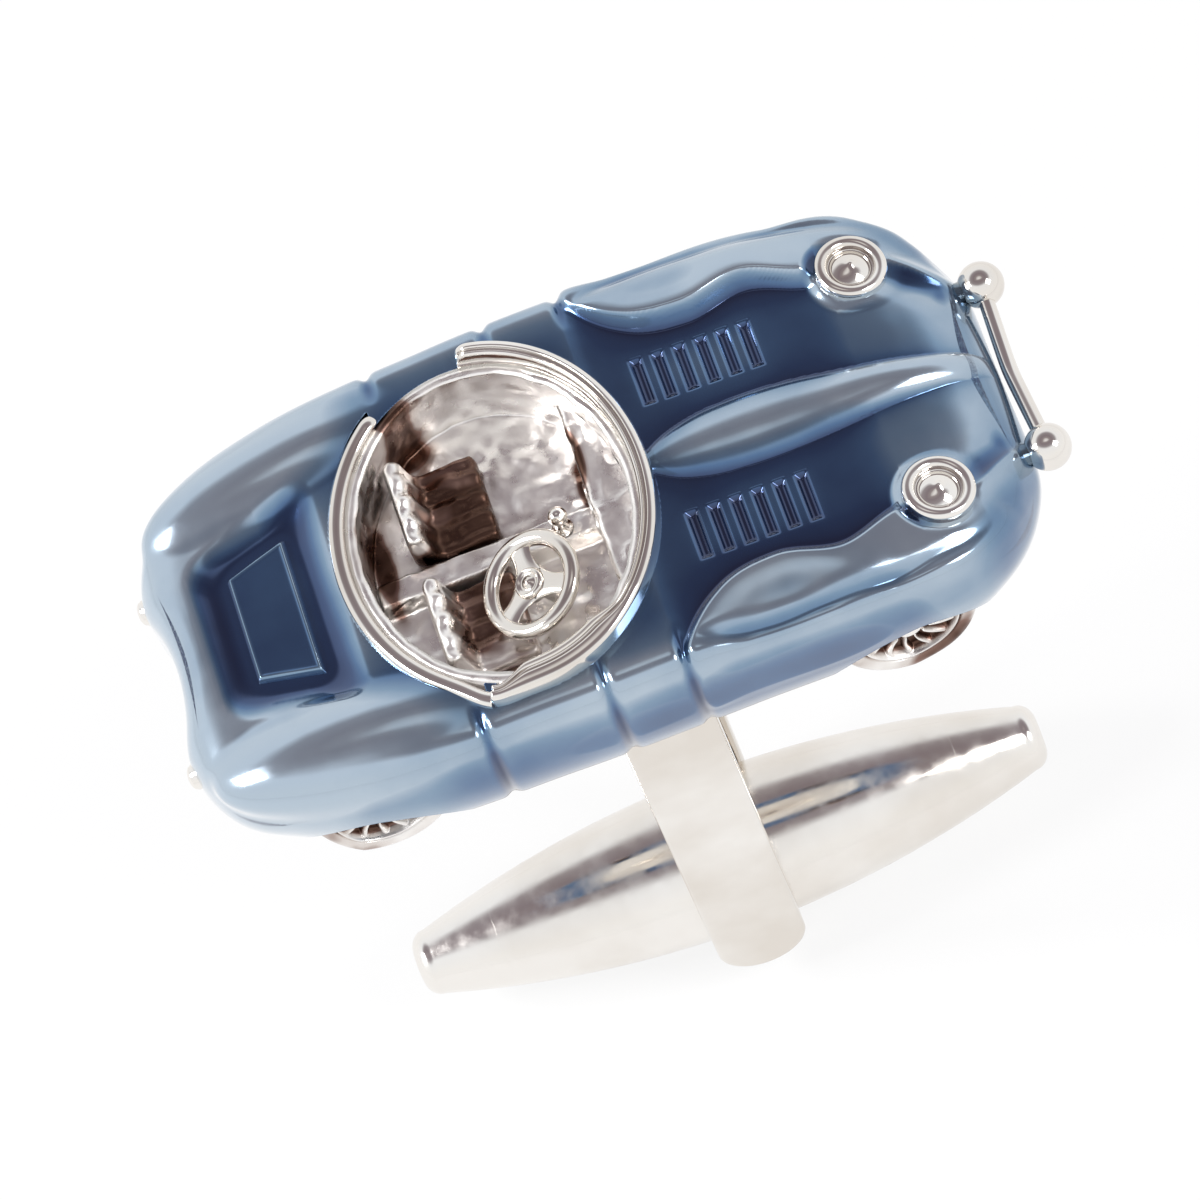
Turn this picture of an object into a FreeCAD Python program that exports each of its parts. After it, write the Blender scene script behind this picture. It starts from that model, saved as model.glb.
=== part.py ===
import FreeCAD, Part
import math
import os
from FreeCAD import Placement, Rotation, Vector

# A bullet-back cufflink whose face is a small open roadster.
# Frame: +X to the car's nose, +Y to its left, +Z out of the face; the origin is on the post axis at the back face.
doc = FreeCAD.newDocument("Cufflink")
sheet = doc.addObject("Spreadsheet::Sheet", "Sizes")

# Driving dimensions in millimetres and degrees
SIZES = {
    # Body stations from tail to nose: place along the car, half width, shoulder height, crown height
    "tail_x": -11.95, "tail_half_width": 3.3, "tail_shoulder": 2.05, "tail_crown": 2.35,
    "corner_x": -11.2, "corner_half_width": 4.25, "corner_shoulder": 2.5, "corner_crown": 2.75,
    "quarter_x": -9.9, "quarter_half_width": 5.1, "quarter_shoulder": 2.85, "quarter_crown": 3.05,
    "rear_axle_x": -7.6, "rear_half_width": 5.85, "rear_shoulder": 3.15, "rear_crown": 3.3,
    "door_x": -2.4, "door_half_width": 6.2, "door_shoulder": 3.55, "door_crown": 3.65,
    "scuttle_x": 2.6, "scuttle_half_width": 6.2, "scuttle_shoulder": 3.6, "scuttle_crown": 3.7,
    "front_axle_x": 7.0, "front_half_width": 6.1, "front_shoulder": 3.3, "front_crown": 3.45,
    "lamp_station_x": 9.5, "lamp_half_width": 5.65, "lamp_shoulder": 2.85, "lamp_crown": 3.0,
    "brow_x": 10.8, "brow_half_width": 4.6, "brow_shoulder": 2.25, "brow_crown": 2.45,
    "nose_x": 11.65, "nose_half_width": 3.3, "nose_shoulder": 1.55, "nose_crown": 1.8,
    "sill_inset": 0.3, "shoulder_inset": 0.25,
    # Wings and bonnet bulge
    "front_wing_x": 5.0, "front_wing_y": 4.5, "front_wing_z": 2.85,
    "front_wing_length": 8.4, "front_wing_width": 2.6, "front_wing_height": 2.4, "front_wing_toe": 5.0,
    "front_wing_dip": 6.0,
    "rear_wing_x": -7.3, "rear_wing_y": 4.3, "rear_wing_z": 2.45,
    "rear_wing_length": 8.2, "rear_wing_width": 2.9, "rear_wing_height": 2.5, "rear_wing_toe": 6.0,
    "rear_wing_dip": -4.0,
    "bulge_x": 6.9, "bulge_z": 3.0, "bulge_length": 9.4, "bulge_width": 3.0, "bulge_height": 1.9,
    "bulge_dip": 9.0,
    "mouth_half_width": 2.1, "mouth_half_height": 0.5, "mouth_depth": 0.6, "mouth_z": 0.9,
    "notch_radius": 5.5, "notch_depth": 0.45,
    # Louvres, panel lines and the boot recess
    "louvre_count": 6, "louvre_first_x": 2.75, "louvre_pitch": 0.6, "louvre_y": 2.5,
    "louvre_length": 1.4, "louvre_width": 0.27, "louvre_depth": 0.22,
    "line_width": 0.2, "line_depth": 0.18, "line_inner_y": 5.0,
    "door_rear_line_x": -4.2, "door_front_line_x": -0.85, "bonnet_line_x": 1.3,
    "recess_rear_x": -10.15, "recess_front_x": -6.9, "recess_rear_width": 4.5, "recess_front_width": 6.2,
    "recess_depth": 0.45, "panel_sink": 0.12,
    "panel_rear_x": -9.5, "panel_front_x": -7.55, "panel_rear_width": 3.4, "panel_front_width": 4.5,
    # Cockpit
    "cockpit_x": -2.2, "cockpit_half_length": 4.4, "cockpit_half_width": 5.3,
    "rim_width": 0.45, "rim_stand": 0.22, "rim_ledge_z": 1.7, "rear_rim_left_x": -4.4, "rear_rim_right_x": -3.8,
    "screen_stand": 0.6, "screen_left_x": -1.7, "screen_right_x": -3.5,
    "tub_wall": 0.3, "tub_floor": 0.9, "tub_top_z": 3.2, "tunnel_width": 0.9, "tunnel_height": 0.55,
    "seat_x": -4.6, "seat_y": 1.9, "seat_width": 2.7, "seat_length": 2.4, "seat_cushion": 0.5,
    "seat_back_height": 1.6, "seat_back_thickness": 0.5, "seat_round": 0.14,
    "dash_x": 0.35, "dash_bottom_z": 1.8, "dash_top_z": 2.9,
    "lever_x": -0.6, "lever_height": 0.6, "lever_radius": 0.13, "knob_radius": 0.27,
    "wheel_hub_x": -1.75, "steer_y": 1.85, "steer_z": 2.95, "steer_tilt": 30.0,
    "steer_radius": 1.36, "steer_tube": 0.2, "spoke_width": 0.42, "spoke_thickness": 0.16, "hub_radius": 0.45,
    "column_radius": 0.17, "column_clearance": 0.02,
    # Lamps, bumper and road wheels
    "lamp_x": 8.95, "lamp_y": 3.65, "lamp_z": 3.15, "lamp_tilt": 12.0, "lamp_radius": 0.98, "lamp_depth": 0.9,
    "lamp_dome": 0.28, "lamp_ring": 0.13,
    "overrider_x": 12.05, "overrider_y": 2.7, "overrider_z": 1.6, "overrider_radius": 0.64,
    "overrider_stem": 0.3, "overrider_clearance": 0.02, "overrider_root_x": 10.6,
    "bar_radius": 0.16, "bar_middle_x": 11.9, "bar_middle_z": 1.4,
    "tail_lamp_y": 2.65, "tail_lamp_z": 1.2, "tail_lamp_radius": 0.36, "tail_lamp_length": 1.0, "tail_lamp_proud": 0.04,
    "tail_lamp_dome": 0.16,
    "arch_radius": 3.1, "arch_top_z": 0.75, "wheel_clearance": 0.05, "wheel_radius": 1.95, "wheel_bottom_z": -1.45,
    "wheel_inner_y": 4.4, "front_wheel_outer_y": 5.8, "rear_wheel_outer_y": 5.3, "hub_cap_radius": 0.5, "tyre_groove": 0.12,
    # Back plate, yoke, pin and toggle
    "plate_length": 17.0, "plate_width": 7.6, "plate_thickness": 0.6, "plate_corner": 2.0, "plate_clearance": 0.02,
    "pivot_depth": 18.4, "arm_width": 2.7, "arm_thickness": 0.85, "bridge_thickness": 1.1, "side_clearance": 0.1,
    "pin_radius": 0.6, "pin_clearance": 0.03, "cam_side": 0.84, "cam_length": 1.7,
    "toggle_length": 19.6, "toggle_belly": 2.35, "toggle_tip": 0.85, "toggle_shell_half": 7.2, "toggle_bore": 1.0,
    "cap_spigot": 1.2, "tip_round": 0.55,
    "spring_half_length": 3.2, "spring_width": 1.3, "spring_thickness": 0.14,
}

for row, (alias, size) in enumerate(SIZES.items(), start=1):
    sheet.set("A%d" % row, alias)
    sheet.set("B%d" % row, str(size))
    sheet.setAlias("B%d" % row, alias)
doc.recompute()

X_AXIS = Vector(1, 0, 0)
Y_AXIS = Vector(0, 1, 0)
Z_AXIS = Vector(0, 0, 1)
# Height that clears everything above the face, for cutters
OVER = "(Sizes.door_crown * 3)"
STATIONS = (
    ("tail_x", "tail"), ("corner_x", "corner"), ("quarter_x", "quarter"), ("rear_axle_x", "rear"), ("door_x", "door"),
    ("scuttle_x", "scuttle"), ("front_axle_x", "front"), ("lamp_station_x", "lamp"), ("brow_x", "brow"), ("nose_x", "nose"),
)
SIDES = (("left", 1), ("right", -1))


def size(alias):
    """A driving dimension as a plain number."""
    return float(sheet.get(alias))


def bind(item, **expressions):
    """Tie properties of a document object to the sheet."""
    for name, expression in expressions.items():
        item.setExpression(name, str(expression))
    return item


def put(item, x="0", y="0", z="0", turn=None):
    """Give an object its rotation and tie its position to the sheet."""
    item.Placement = Placement(Vector(), turn or Rotation())
    for axis, expression in zip("xyz", (x, y, z)):
        item.setExpression("Placement.Base." + axis, str(expression))
    return item


def primitive(kind, name, turn=None, at=("0", "0", "0"), **expressions):
    item = doc.addObject("Part::" + kind, name)
    bind(item, **expressions)
    return put(item, *at, turn=turn)


def join(name, items):
    item = doc.addObject("Part::MultiFuse", name)
    item.Shapes = items
    return item


def cut(name, base, tool):
    item = doc.addObject("Part::Cut", name)
    item.Base = base
    item.Tool = tool
    return item


def group(name, items):
    """Pieces that stand apart, taken as one."""
    item = doc.addObject("Part::Compound", name)
    item.Links = items
    return item


def common(name, base, tool):
    item = doc.addObject("Part::Common", name)
    item.Base = base
    item.Tool = tool
    return item


def solid(name, shape):
    item = doc.addObject("Part::Feature", name)
    item.Shape = shape
    return item


# The hull: sections of a flat floor, two bowed sides and a crowned top, lofted from tail to nose

def hull_section(place, station, inset):
    half = size(station + "_half_width") - inset
    shoulder = size(station + "_shoulder") - inset
    crown = size(station + "_crown") - inset
    sill = half - size("sill_inset")
    upper = half - size("shoulder_inset")
    waist = shoulder * 0.45

    def point(y, z):
        return Vector(size(place), y, z)

    edges = [
        Part.LineSegment(point(-sill, 0), point(sill, 0)).toShape(),
        Part.Arc(point(sill, 0), point(half, waist), point(upper, shoulder)).toShape(),
        Part.Arc(point(upper, shoulder), point(0, crown), point(-upper, shoulder)).toShape(),
        Part.Arc(point(-upper, shoulder), point(-half, waist), point(-sill, 0)).toShape(),
    ]
    return Part.Wire(edges)


def hull(name, inset=0.0):
    """The body's main volume, drawn in by inset on every side but the floor."""
    wires = [hull_section(place, station, inset) for place, station in STATIONS]
    return solid(name, Part.makeLoft(wires, True, False))


def oval(name, half_length, half_width, bottom, height):
    """An upright oval prism round the cockpit's centre."""
    outline = doc.addObject("Part::Ellipse", name + "_outline")
    bind(outline, MajorRadius=half_width, MinorRadius=half_length)
    put(outline, "Sizes.cockpit_x", "0", bottom, Rotation(Z_AXIS, 90))
    prism = doc.addObject("Part::Extrusion", name)
    prism.Base = outline
    prism.DirMode = "Custom"
    prism.Dir = Z_AXIS
    prism.Solid = True
    return bind(prism, LengthFwd=height)


def lengthwise_box(name, x_from, x_to, y_from, y_to, z_from, z_to):
    return primitive("Box", name, at=(x_from, y_from, z_from), Length="(%s) - (%s)" % (x_to, x_from),
                     Width="(%s) - (%s)" % (y_to, y_from), Height="(%s) - (%s)" % (z_to, z_from))


def trapezoid(name, prefix):
    """An upright prism that widens from its rear edge to its front edge."""
    item = doc.addObject("Part::Wedge", name)
    rear, front = "Sizes.%s_rear_width / 2" % prefix, "Sizes.%s_front_width / 2" % prefix
    bind(item, Ymin="Sizes.%s_rear_x" % prefix, Ymax="Sizes.%s_front_x" % prefix,
         Xmin="-" + rear, Xmax=rear, X2min="-" + front, X2max=front,
         Zmin="0", Z2min="0", Zmax=OVER, Z2max=OVER)
    item.Placement = Placement(Vector(), Rotation(Z_AXIS, -90))
    return item


def ellipsoid(name, prefix, x, y, z, turn):
    return primitive("Ellipsoid", name, turn=turn, at=(x, y, z), Radius2="Sizes.%s_length / 2" % prefix,
                     Radius3="Sizes.%s_width / 2" % prefix, Radius1="Sizes.%s_height / 2" % prefix)


# Rims round the cockpit: a ring that follows the body's crown

FULL = ("Sizes.cockpit_half_length", "Sizes.cockpit_half_width")
INNER = ("Sizes.cockpit_half_length - Sizes.rim_width", "Sizes.cockpit_half_width - Sizes.rim_width")
HOLLOW = ("Sizes.cockpit_half_length - Sizes.rim_width - Sizes.tub_wall",
          "Sizes.cockpit_half_width - Sizes.rim_width - Sizes.tub_wall")


def rim_ring(name):
    outer = oval(name + "_outer", *FULL, "Sizes.rim_ledge_z", OVER)
    inner = oval(name + "_inner", *INNER, "Sizes.rim_ledge_z", OVER)
    return cut(name, outer, inner)


def side_spans(name, x_from, x_to):
    """Two boxes, left and right of the centre line, from x_from to x_to on each side."""
    wide = "Sizes.door_half_width"
    left = lengthwise_box(name + "_left", x_from[0], x_to[0], "0", wide, "0", OVER)
    right = lengthwise_box(name + "_right", x_from[1], x_to[1], "-" + wide, "0", "0", OVER)
    return join(name, [left, right])


def front_span(name):
    return side_spans(name, ("Sizes.screen_left_x", "Sizes.screen_right_x"), ("Sizes.nose_x", "Sizes.nose_x"))


def rear_span(name):
    return side_spans(name, ("Sizes.tail_x", "Sizes.tail_x"), ("Sizes.rear_rim_left_x", "Sizes.rear_rim_right_x"))


def windscreen_frame():
    arc = common("screen_arc", rim_ring("screen_ring"), front_span("screen_span"))
    return common("windscreen_frame", arc, hull("screen_crown", -size("screen_stand")))


def rear_cockpit_rim():
    arc = common("rear_rim_arc", rim_ring("rear_rim_ring"), rear_span("rear_rim_span"))
    return common("rear_cockpit_rim", arc, hull("rear_rim_crown", -size("rim_stand")))


# Cockpit pieces

FLOOR_TOP = "(Sizes.plate_thickness + Sizes.tub_floor)"


def cockpit_tub():
    height = "Sizes.tub_top_z - Sizes.plate_thickness"
    outer = oval("tub_outer", *INNER, "Sizes.plate_thickness", height)
    inner = oval("tub_hollow", *HOLLOW, FLOOR_TOP, OVER)
    cup = cut("tub_cup", outer, inner)
    bar = lengthwise_box("tunnel_bar", "Sizes.cockpit_x - Sizes.cockpit_half_length", "Sizes.dash_x",
                         "-Sizes.tunnel_width / 2", "Sizes.tunnel_width / 2", FLOOR_TOP,
                         FLOOR_TOP + " + Sizes.tunnel_height")
    tunnel = common("tunnel", bar, oval("tunnel_limit", *HOLLOW, FLOOR_TOP, OVER))
    return join("cockpit_tub", [cup, tunnel])


def origin_plane(body, role):
    return [item for item in body.Origin.OriginFeatures if item.Role == role][0]


def sketch_on(body, name, role):
    sketch = body.newObject("Sketcher::SketchObject", name)
    sketch.AttachmentSupport = [(origin_plane(body, role), "")]
    sketch.MapMode = "FlatFace"
    return sketch


def fix_point(sketch, geometry, position, x, y):
    """Tie a sketch point to the sheet by its distances from the origin."""
    import Sketcher
    for kind, expression in (("DistanceX", x), ("DistanceY", y)):
        if expression is None:
            continue
        here = sketch.getPoint(geometry, position)
        value = here.x if kind == "DistanceX" else here.y
        number = sketch.addConstraint(Sketcher.Constraint(kind, -1, 1, geometry, position, value))
        sketch.setExpression("Constraints[%d]" % number, expression)


def polygon(sketch, corners):
    """A closed outline through corners given as pairs of expressions."""
    import Sketcher
    worked = [Vector(sketch_value(x), sketch_value(y), 0) for x, y in corners]
    count = len(worked)
    for k in range(count):
        sketch.addGeometry(Part.LineSegment(worked[k], worked[(k + 1) % count]), False)
    for k in range(count):
        sketch.addConstraint(Sketcher.Constraint("Coincident", k, 2, (k + 1) % count, 1))
    for k, (x, y) in enumerate(corners):
        fix_point(sketch, k, 1, x, y)


def sketch_value(expression):
    """The present value of an expression in the sheet's names."""
    return float(sheet.evalExpression(expression.replace("Sizes.", "")))


def pad(body, sketch, length, midplane=False):
    feature = body.newObject("PartDesign::Pad", sketch.Name + "_pad")
    feature.Profile = sketch
    if midplane:
        feature.SideType = "Symmetric"
    bind(feature, Length=length)
    doc.recompute()
    return feature


def seat(name, side):
    body = doc.addObject("PartDesign::Body", name)
    profile = sketch_on(body, name + "_profile", "XZ_Plane")
    polygon(profile, (
        ("0", "0"), ("Sizes.seat_length", "0"), ("Sizes.seat_length", "Sizes.seat_cushion"),
        ("Sizes.seat_back_thickness * 1.5", "Sizes.seat_cushion * 0.85"),
        ("Sizes.seat_back_thickness", "Sizes.seat_back_height"), ("0", "Sizes.seat_back_height"),
    ))
    block = pad(body, profile, "Sizes.seat_width", midplane=True)
    upper = [
        "Edge%d" % (k + 1) for k, edge in enumerate(block.Shape.Edges)
        if edge.BoundBox.ZMax > size("seat_cushion") * 0.5 and edge.BoundBox.ZMin > size("seat_cushion") * 0.5
    ]
    rounding = body.newObject("PartDesign::Fillet", name + "_rounding")
    rounding.Base = (block, upper)
    bind(rounding, Radius="Sizes.seat_round")
    doc.recompute()
    put(body, "Sizes.seat_x", "%d * Sizes.seat_y" % side, FLOOR_TOP)
    return body


def steer_turn():
    """Local Z along the steering column, leaning back towards the seat."""
    return Rotation(Y_AXIS, -size("steer_tilt"))


STEER_AT = ("Sizes.wheel_hub_x", "-Sizes.steer_y", "Sizes.steer_z")


def steering_wheel():
    turn = steer_turn()
    ring = primitive("Torus", "steer_ring", turn=turn, at=STEER_AT, Radius1="Sizes.steer_radius",
                     Radius2="Sizes.steer_tube")
    hub = primitive("Sphere", "steer_hub", turn=turn, at=STEER_AT, Radius="Sizes.hub_radius")
    spokes = []
    for k in range(3):
        spoke_turn = turn.multiply(Rotation(Z_AXIS, 90 + 120 * k))
        offset = spoke_turn.multVec(Vector(0, -size("spoke_width") / 2, -size("spoke_thickness") / 2))
        at = ["%s + (%.6f)" % (base, shift) for base, shift in zip(STEER_AT, offset)]
        spokes.append(primitive("Box", "steer_spoke_%d" % k, turn=spoke_turn, at=at, Length="Sizes.steer_radius",
                                Width="Sizes.spoke_width", Height="Sizes.spoke_thickness"))
    drop = "((Sizes.steer_z - %s) / cos(Sizes.steer_tilt * 1deg))" % FLOOR_TOP
    lift = "(Sizes.column_radius * tan(Sizes.steer_tilt * 1deg) + Sizes.column_clearance)"
    column = primitive("Cylinder", "steer_column", turn=turn.multiply(Rotation(X_AXIS, 180)), at=STEER_AT,
                       Radius="Sizes.column_radius", Height=drop + " - " + lift)
    return join("steering_wheel", [ring, hub, column] + spokes)


def dashboard():
    block = lengthwise_box("dash_block", "Sizes.dash_x", "Sizes.nose_x", "-Sizes.cockpit_half_width",
                           "Sizes.cockpit_half_width", "Sizes.dash_bottom_z", "Sizes.dash_top_z")
    lower = common("dashboard", block, oval("dash_limit", *HOLLOW, "0", OVER))
    return lower


def gear_lever():
    top = FLOOR_TOP + " + Sizes.tunnel_height"
    stick = primitive("Cone", "lever_stick", at=("Sizes.lever_x", "0", top), Radius1="Sizes.lever_radius * 1.3",
                      Radius2="Sizes.lever_radius", Height="Sizes.lever_height")
    knob = primitive("Sphere", "lever_knob", at=("Sizes.lever_x", "0", top + " + Sizes.lever_height"),
                     Radius="Sizes.knob_radius")
    return join("gear_lever", [stick, knob])


# Lamps, bumper and road wheels

def headlamp(side_name, side):
    turn = Rotation(Y_AXIS, size("lamp_tilt"))
    at = ("Sizes.lamp_x", "%d * Sizes.lamp_y" % side, "Sizes.lamp_z")
    sunk = turn.multVec(Vector(0, 0, -size("lamp_depth")))
    base = ["%s + (%.6f)" % (place, shift) for place, shift in zip(at, sunk)]
    name = "headlamp_" + side_name
    barrel = primitive("Cylinder", name + "_barrel", turn=turn, at=base, Radius="Sizes.lamp_radius",
                       Height="Sizes.lamp_depth")
    ring = primitive("Torus", name + "_ring", turn=turn, at=at, Radius1="Sizes.lamp_radius - 1.4 * Sizes.lamp_ring",
                     Radius2="Sizes.lamp_ring")
    dome = primitive("Ellipsoid", name + "_dome", turn=turn, at=at, Radius1="Sizes.lamp_dome",
                     Radius2="Sizes.lamp_radius - 3 * Sizes.lamp_ring",
                     Radius3="Sizes.lamp_radius - 3 * Sizes.lamp_ring")
    socket = primitive("Cylinder", name + "_socket", turn=turn, at=base, Radius="Sizes.lamp_radius",
                       Height="4 * Sizes.lamp_depth")
    return join(name, [barrel, ring, dome]), socket


def front_bumper():
    middle = Vector(size("bar_middle_x"), 0, size("bar_middle_z"))
    pieces = [Part.makeSphere(size("bar_radius"), middle)]
    for _, side in SIDES:
        end = Vector(size("overrider_x"), side * size("overrider_y"), size("overrider_z"))
        run = end - middle
        pieces.append(Part.makeCylinder(size("bar_radius"), run.Length, middle, run))
    return solid("front_bumper", pieces[0].fuse(pieces[1:]).removeSplitter())


def overrider(side_name, side, bar):
    name = "overrider_" + side_name
    y = "%d * Sizes.overrider_y" % side
    ball = primitive("Sphere", name + "_ball", at=("Sizes.overrider_x", y, "Sizes.overrider_z"),
                     Radius="Sizes.overrider_radius")
    stem = primitive("Cylinder", name + "_stem", turn=Rotation(Y_AXIS, 90),
                     at=("Sizes.overrider_root_x", y, "Sizes.overrider_z"), Radius="Sizes.overrider_stem",
                     Height="Sizes.overrider_x - Sizes.overrider_root_x")
    return cut(name, join(name + "_blank", [ball, stem]), bar), stem


def overrider_pocket(side_name, side):
    """The dimple in the nose that the ball sits in."""
    return primitive("Cylinder", "overrider_pocket_" + side_name, turn=Rotation(Y_AXIS, 90),
                     at=("Sizes.overrider_x - Sizes.overrider_radius - Sizes.overrider_clearance",
                         "%d * Sizes.overrider_y" % side, "Sizes.overrider_z"),
                     Radius="Sizes.overrider_radius + Sizes.overrider_clearance", Height="2 * Sizes.overrider_radius")


def tail_lamp(side_name, side):
    name = "tail_lamp_" + side_name
    y = "%d * Sizes.tail_lamp_y" % side
    stem = primitive("Cylinder", name + "_stem", turn=Rotation(Y_AXIS, 90),
                     at=("Sizes.tail_x - Sizes.tail_lamp_proud", y, "Sizes.tail_lamp_z"),
                     Radius="Sizes.tail_lamp_radius", Height="Sizes.tail_lamp_length")
    dome = primitive("Ellipsoid", name + "_dome", at=("Sizes.tail_x - Sizes.tail_lamp_proud", y, "Sizes.tail_lamp_z"),
                     Radius1="Sizes.tail_lamp_radius * 0.9", Radius2="Sizes.tail_lamp_dome",
                     Radius3="Sizes.tail_lamp_radius * 0.9")
    return join(name, [stem, dome]), stem


def sideways(name, side, x, z, radius, from_y, to_y):
    """A cylinder across the car, from one distance off its middle plane to another."""
    return primitive("Cylinder", name, turn=Rotation(X_AXIS, -90 * side), at=(x, "%d * (%s)" % (side, from_y), z),
                     Radius=radius, Height="(%s) - (%s)" % (to_y, from_y))


ARCH_Z = "Sizes.arch_top_z - Sizes.arch_radius"


def road_wheel(axle, side_name, side):
    name = "%s_wheel_%s" % (axle, side_name)
    x = "Sizes.%s_axle_x" % axle
    outer_y = "Sizes.%s_wheel_outer_y" % axle
    limit = sideways(name + "_limit", side, x, ARCH_Z, "Sizes.arch_radius - Sizes.wheel_clearance",
                     "Sizes.wheel_inner_y", outer_y)
    centre_z = "Sizes.wheel_bottom_z + Sizes.wheel_radius"
    disc = sideways(name + "_disc", side, x, centre_z, "Sizes.wheel_radius", "Sizes.wheel_inner_y", outer_y)
    blank = common(name + "_blank", disc, limit)
    groove_outer = sideways(name + "_groove_outer", side, x, centre_z, "Sizes.wheel_radius * 0.8",
                            outer_y + " - Sizes.tyre_groove", outer_y + " * 2")
    groove_inner = sideways(name + "_groove_inner", side, x, centre_z, "Sizes.hub_cap_radius",
                            outer_y + " - Sizes.tyre_groove * 2", outer_y + " * 2")
    return cut(name, blank, cut(name + "_dish", groove_outer, groove_inner))


# Back plate, yoke, pin and toggle

def plate_blank(name, clearance):
    body = doc.addObject("PartDesign::Body", name)
    outline = sketch_on(body, name + "_outline", "XY_Plane")
    along = "(Sizes.plate_length / 2 + %s)" % clearance
    across = "(Sizes.plate_width / 2 + %s)" % clearance
    polygon(outline, (
        ("-" + along, "-" + across), (along, "-" + across), (along, across), ("-" + along, across),
    ))
    block = pad(body, outline, "Sizes.plate_thickness + " + clearance)
    upright = [
        "Edge%d" % (k + 1) for k, edge in enumerate(block.Shape.Edges)
        if edge.BoundBox.ZLength > size("plate_thickness") * 0.5
    ]
    rounding = body.newObject("PartDesign::Fillet", name + "_corners")
    rounding.Base = (block, upright)
    bind(rounding, Radius="Sizes.plate_corner + " + clearance)
    doc.recompute()
    return body


ARM_INNER = "(Sizes.toggle_belly + Sizes.side_clearance)"
ARM_OUTER = "(Sizes.toggle_belly + Sizes.side_clearance + Sizes.arm_thickness)"


def yoke():
    import Sketcher
    body = doc.addObject("PartDesign::Body", "yoke")
    outline = sketch_on(body, "yoke_side", "XZ_Plane")
    half, depth = size("arm_width") / 2, size("pivot_depth")
    outline.addGeometry(Part.LineSegment(Vector(-half, 0, 0), Vector(half, 0, 0)), False)
    outline.addGeometry(Part.LineSegment(Vector(half, 0, 0), Vector(half, -depth, 0)), False)
    circle = Part.Circle(Vector(0, -depth, 0), Z_AXIS, half)
    outline.addGeometry(Part.ArcOfCircle(circle, math.pi, 2 * math.pi), False)
    outline.addGeometry(Part.LineSegment(Vector(-half, -depth, 0), Vector(-half, 0, 0)), False)
    for first, second in (((0, 2), (1, 1)), ((1, 2), (2, 2)), ((2, 1), (3, 1)), ((3, 2), (0, 1))):
        outline.addConstraint(Sketcher.Constraint("Coincident", *first, *second))
    fix_point(outline, 0, 1, "-Sizes.arm_width / 2", "0")
    fix_point(outline, 0, 2, "Sizes.arm_width / 2", "0")
    fix_point(outline, 1, 2, "Sizes.arm_width / 2", "-Sizes.pivot_depth")
    fix_point(outline, 3, 1, "-Sizes.arm_width / 2", "-Sizes.pivot_depth")
    fix_point(outline, 2, 3, None, "-Sizes.pivot_depth")
    strap = pad(body, outline, "2 * " + ARM_OUTER, midplane=True)

    window = sketch_on(body, "yoke_window", "YZ_Plane")
    low = "(-Sizes.pivot_depth - Sizes.arm_width)"
    polygon(window, (
        ("-" + ARM_INNER, low), (ARM_INNER, low), (ARM_INNER, "-Sizes.bridge_thickness"),
        ("-" + ARM_INNER, "-Sizes.bridge_thickness"),
    ))
    opening = body.newObject("PartDesign::Pocket", "yoke_opening")
    opening.Profile = window
    opening.SideType = "Symmetric"
    bind(opening, Length="2 * Sizes.arm_width")
    doc.recompute()

    bore = sketch_on(body, "yoke_bore", "XZ_Plane")
    bore.addGeometry(Part.Circle(Vector(0, -depth, 0), Z_AXIS, size("pin_radius")), False)
    fix_point(bore, 0, 3, "0", "-Sizes.pivot_depth")
    number = bore.addConstraint(Sketcher.Constraint("Radius", 0, size("pin_radius")))
    bore.setExpression("Constraints[%d]" % number, "Sizes.pin_radius")
    hole = body.newObject("PartDesign::Pocket", "yoke_hole")
    hole.Profile = bore
    hole.SideType = "Symmetric"
    bind(hole, Length="4 * " + ARM_OUTER)
    doc.recompute()
    return body


def pivot_pin():
    centre = "-Sizes.pivot_depth"
    pieces = []
    for side_name, side in SIDES:
        pieces.append(sideways("pin_journal_" + side_name, side, "0", centre, "Sizes.pin_radius",
                               "Sizes.cam_length / 2", ARM_OUTER))
    pieces.append(primitive("Box", "pin_cam", Length="Sizes.cam_side", Width="Sizes.cam_length",
                            Height="Sizes.cam_side",
                            at=("-Sizes.cam_side / 2", "-Sizes.cam_length / 2", centre + " - Sizes.cam_side / 2")))
    return join("pivot_pin", pieces)


# The toggle's outline is one shallow arc from tip to tip: its drop at the tip gives the arc's radius
DROP = "(Sizes.toggle_belly - Sizes.toggle_tip)"
ARC_RADIUS = "((Sizes.toggle_length * Sizes.toggle_length / 4 + {0} * {0}) / (2 * {0}))".format(DROP)


def arc_height(along):
    """Radius of the toggle at a distance from its middle."""
    radius = sketch_value(ARC_RADIUS)
    return size("toggle_belly") - radius + math.sqrt(radius * radius - along * along)


def toggle_arc(sketch, start, end):
    """The toggle's outline between two distances from its middle, bound to the sheet."""
    import Sketcher
    radius = sketch_value(ARC_RADIUS)
    centre = Vector(0, size("toggle_belly") - radius, 0)
    first, last = sketch_value(start), sketch_value(end)
    angles = [math.atan2(arc_height(x) - centre.y, x) for x in (last, first)]
    number = sketch.addGeometry(Part.ArcOfCircle(Part.Circle(centre, Z_AXIS, radius), *angles), False)
    fix_point(sketch, number, 3, "0", "Sizes.toggle_belly - " + ARC_RADIUS)
    constraint = sketch.addConstraint(Sketcher.Constraint("Radius", number, radius))
    sketch.setExpression("Constraints[%d]" % constraint, ARC_RADIUS)
    fix_point(sketch, number, 1, end, None)
    fix_point(sketch, number, 2, start, None)
    return number


def line(sketch, start, end):
    return sketch.addGeometry(Part.LineSegment(Vector(*start, 0), Vector(*end, 0)), False)


def link(sketch, pairs):
    import Sketcher
    for first, second in pairs:
        sketch.addConstraint(Sketcher.Constraint("Coincident", *first, *second))


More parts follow.
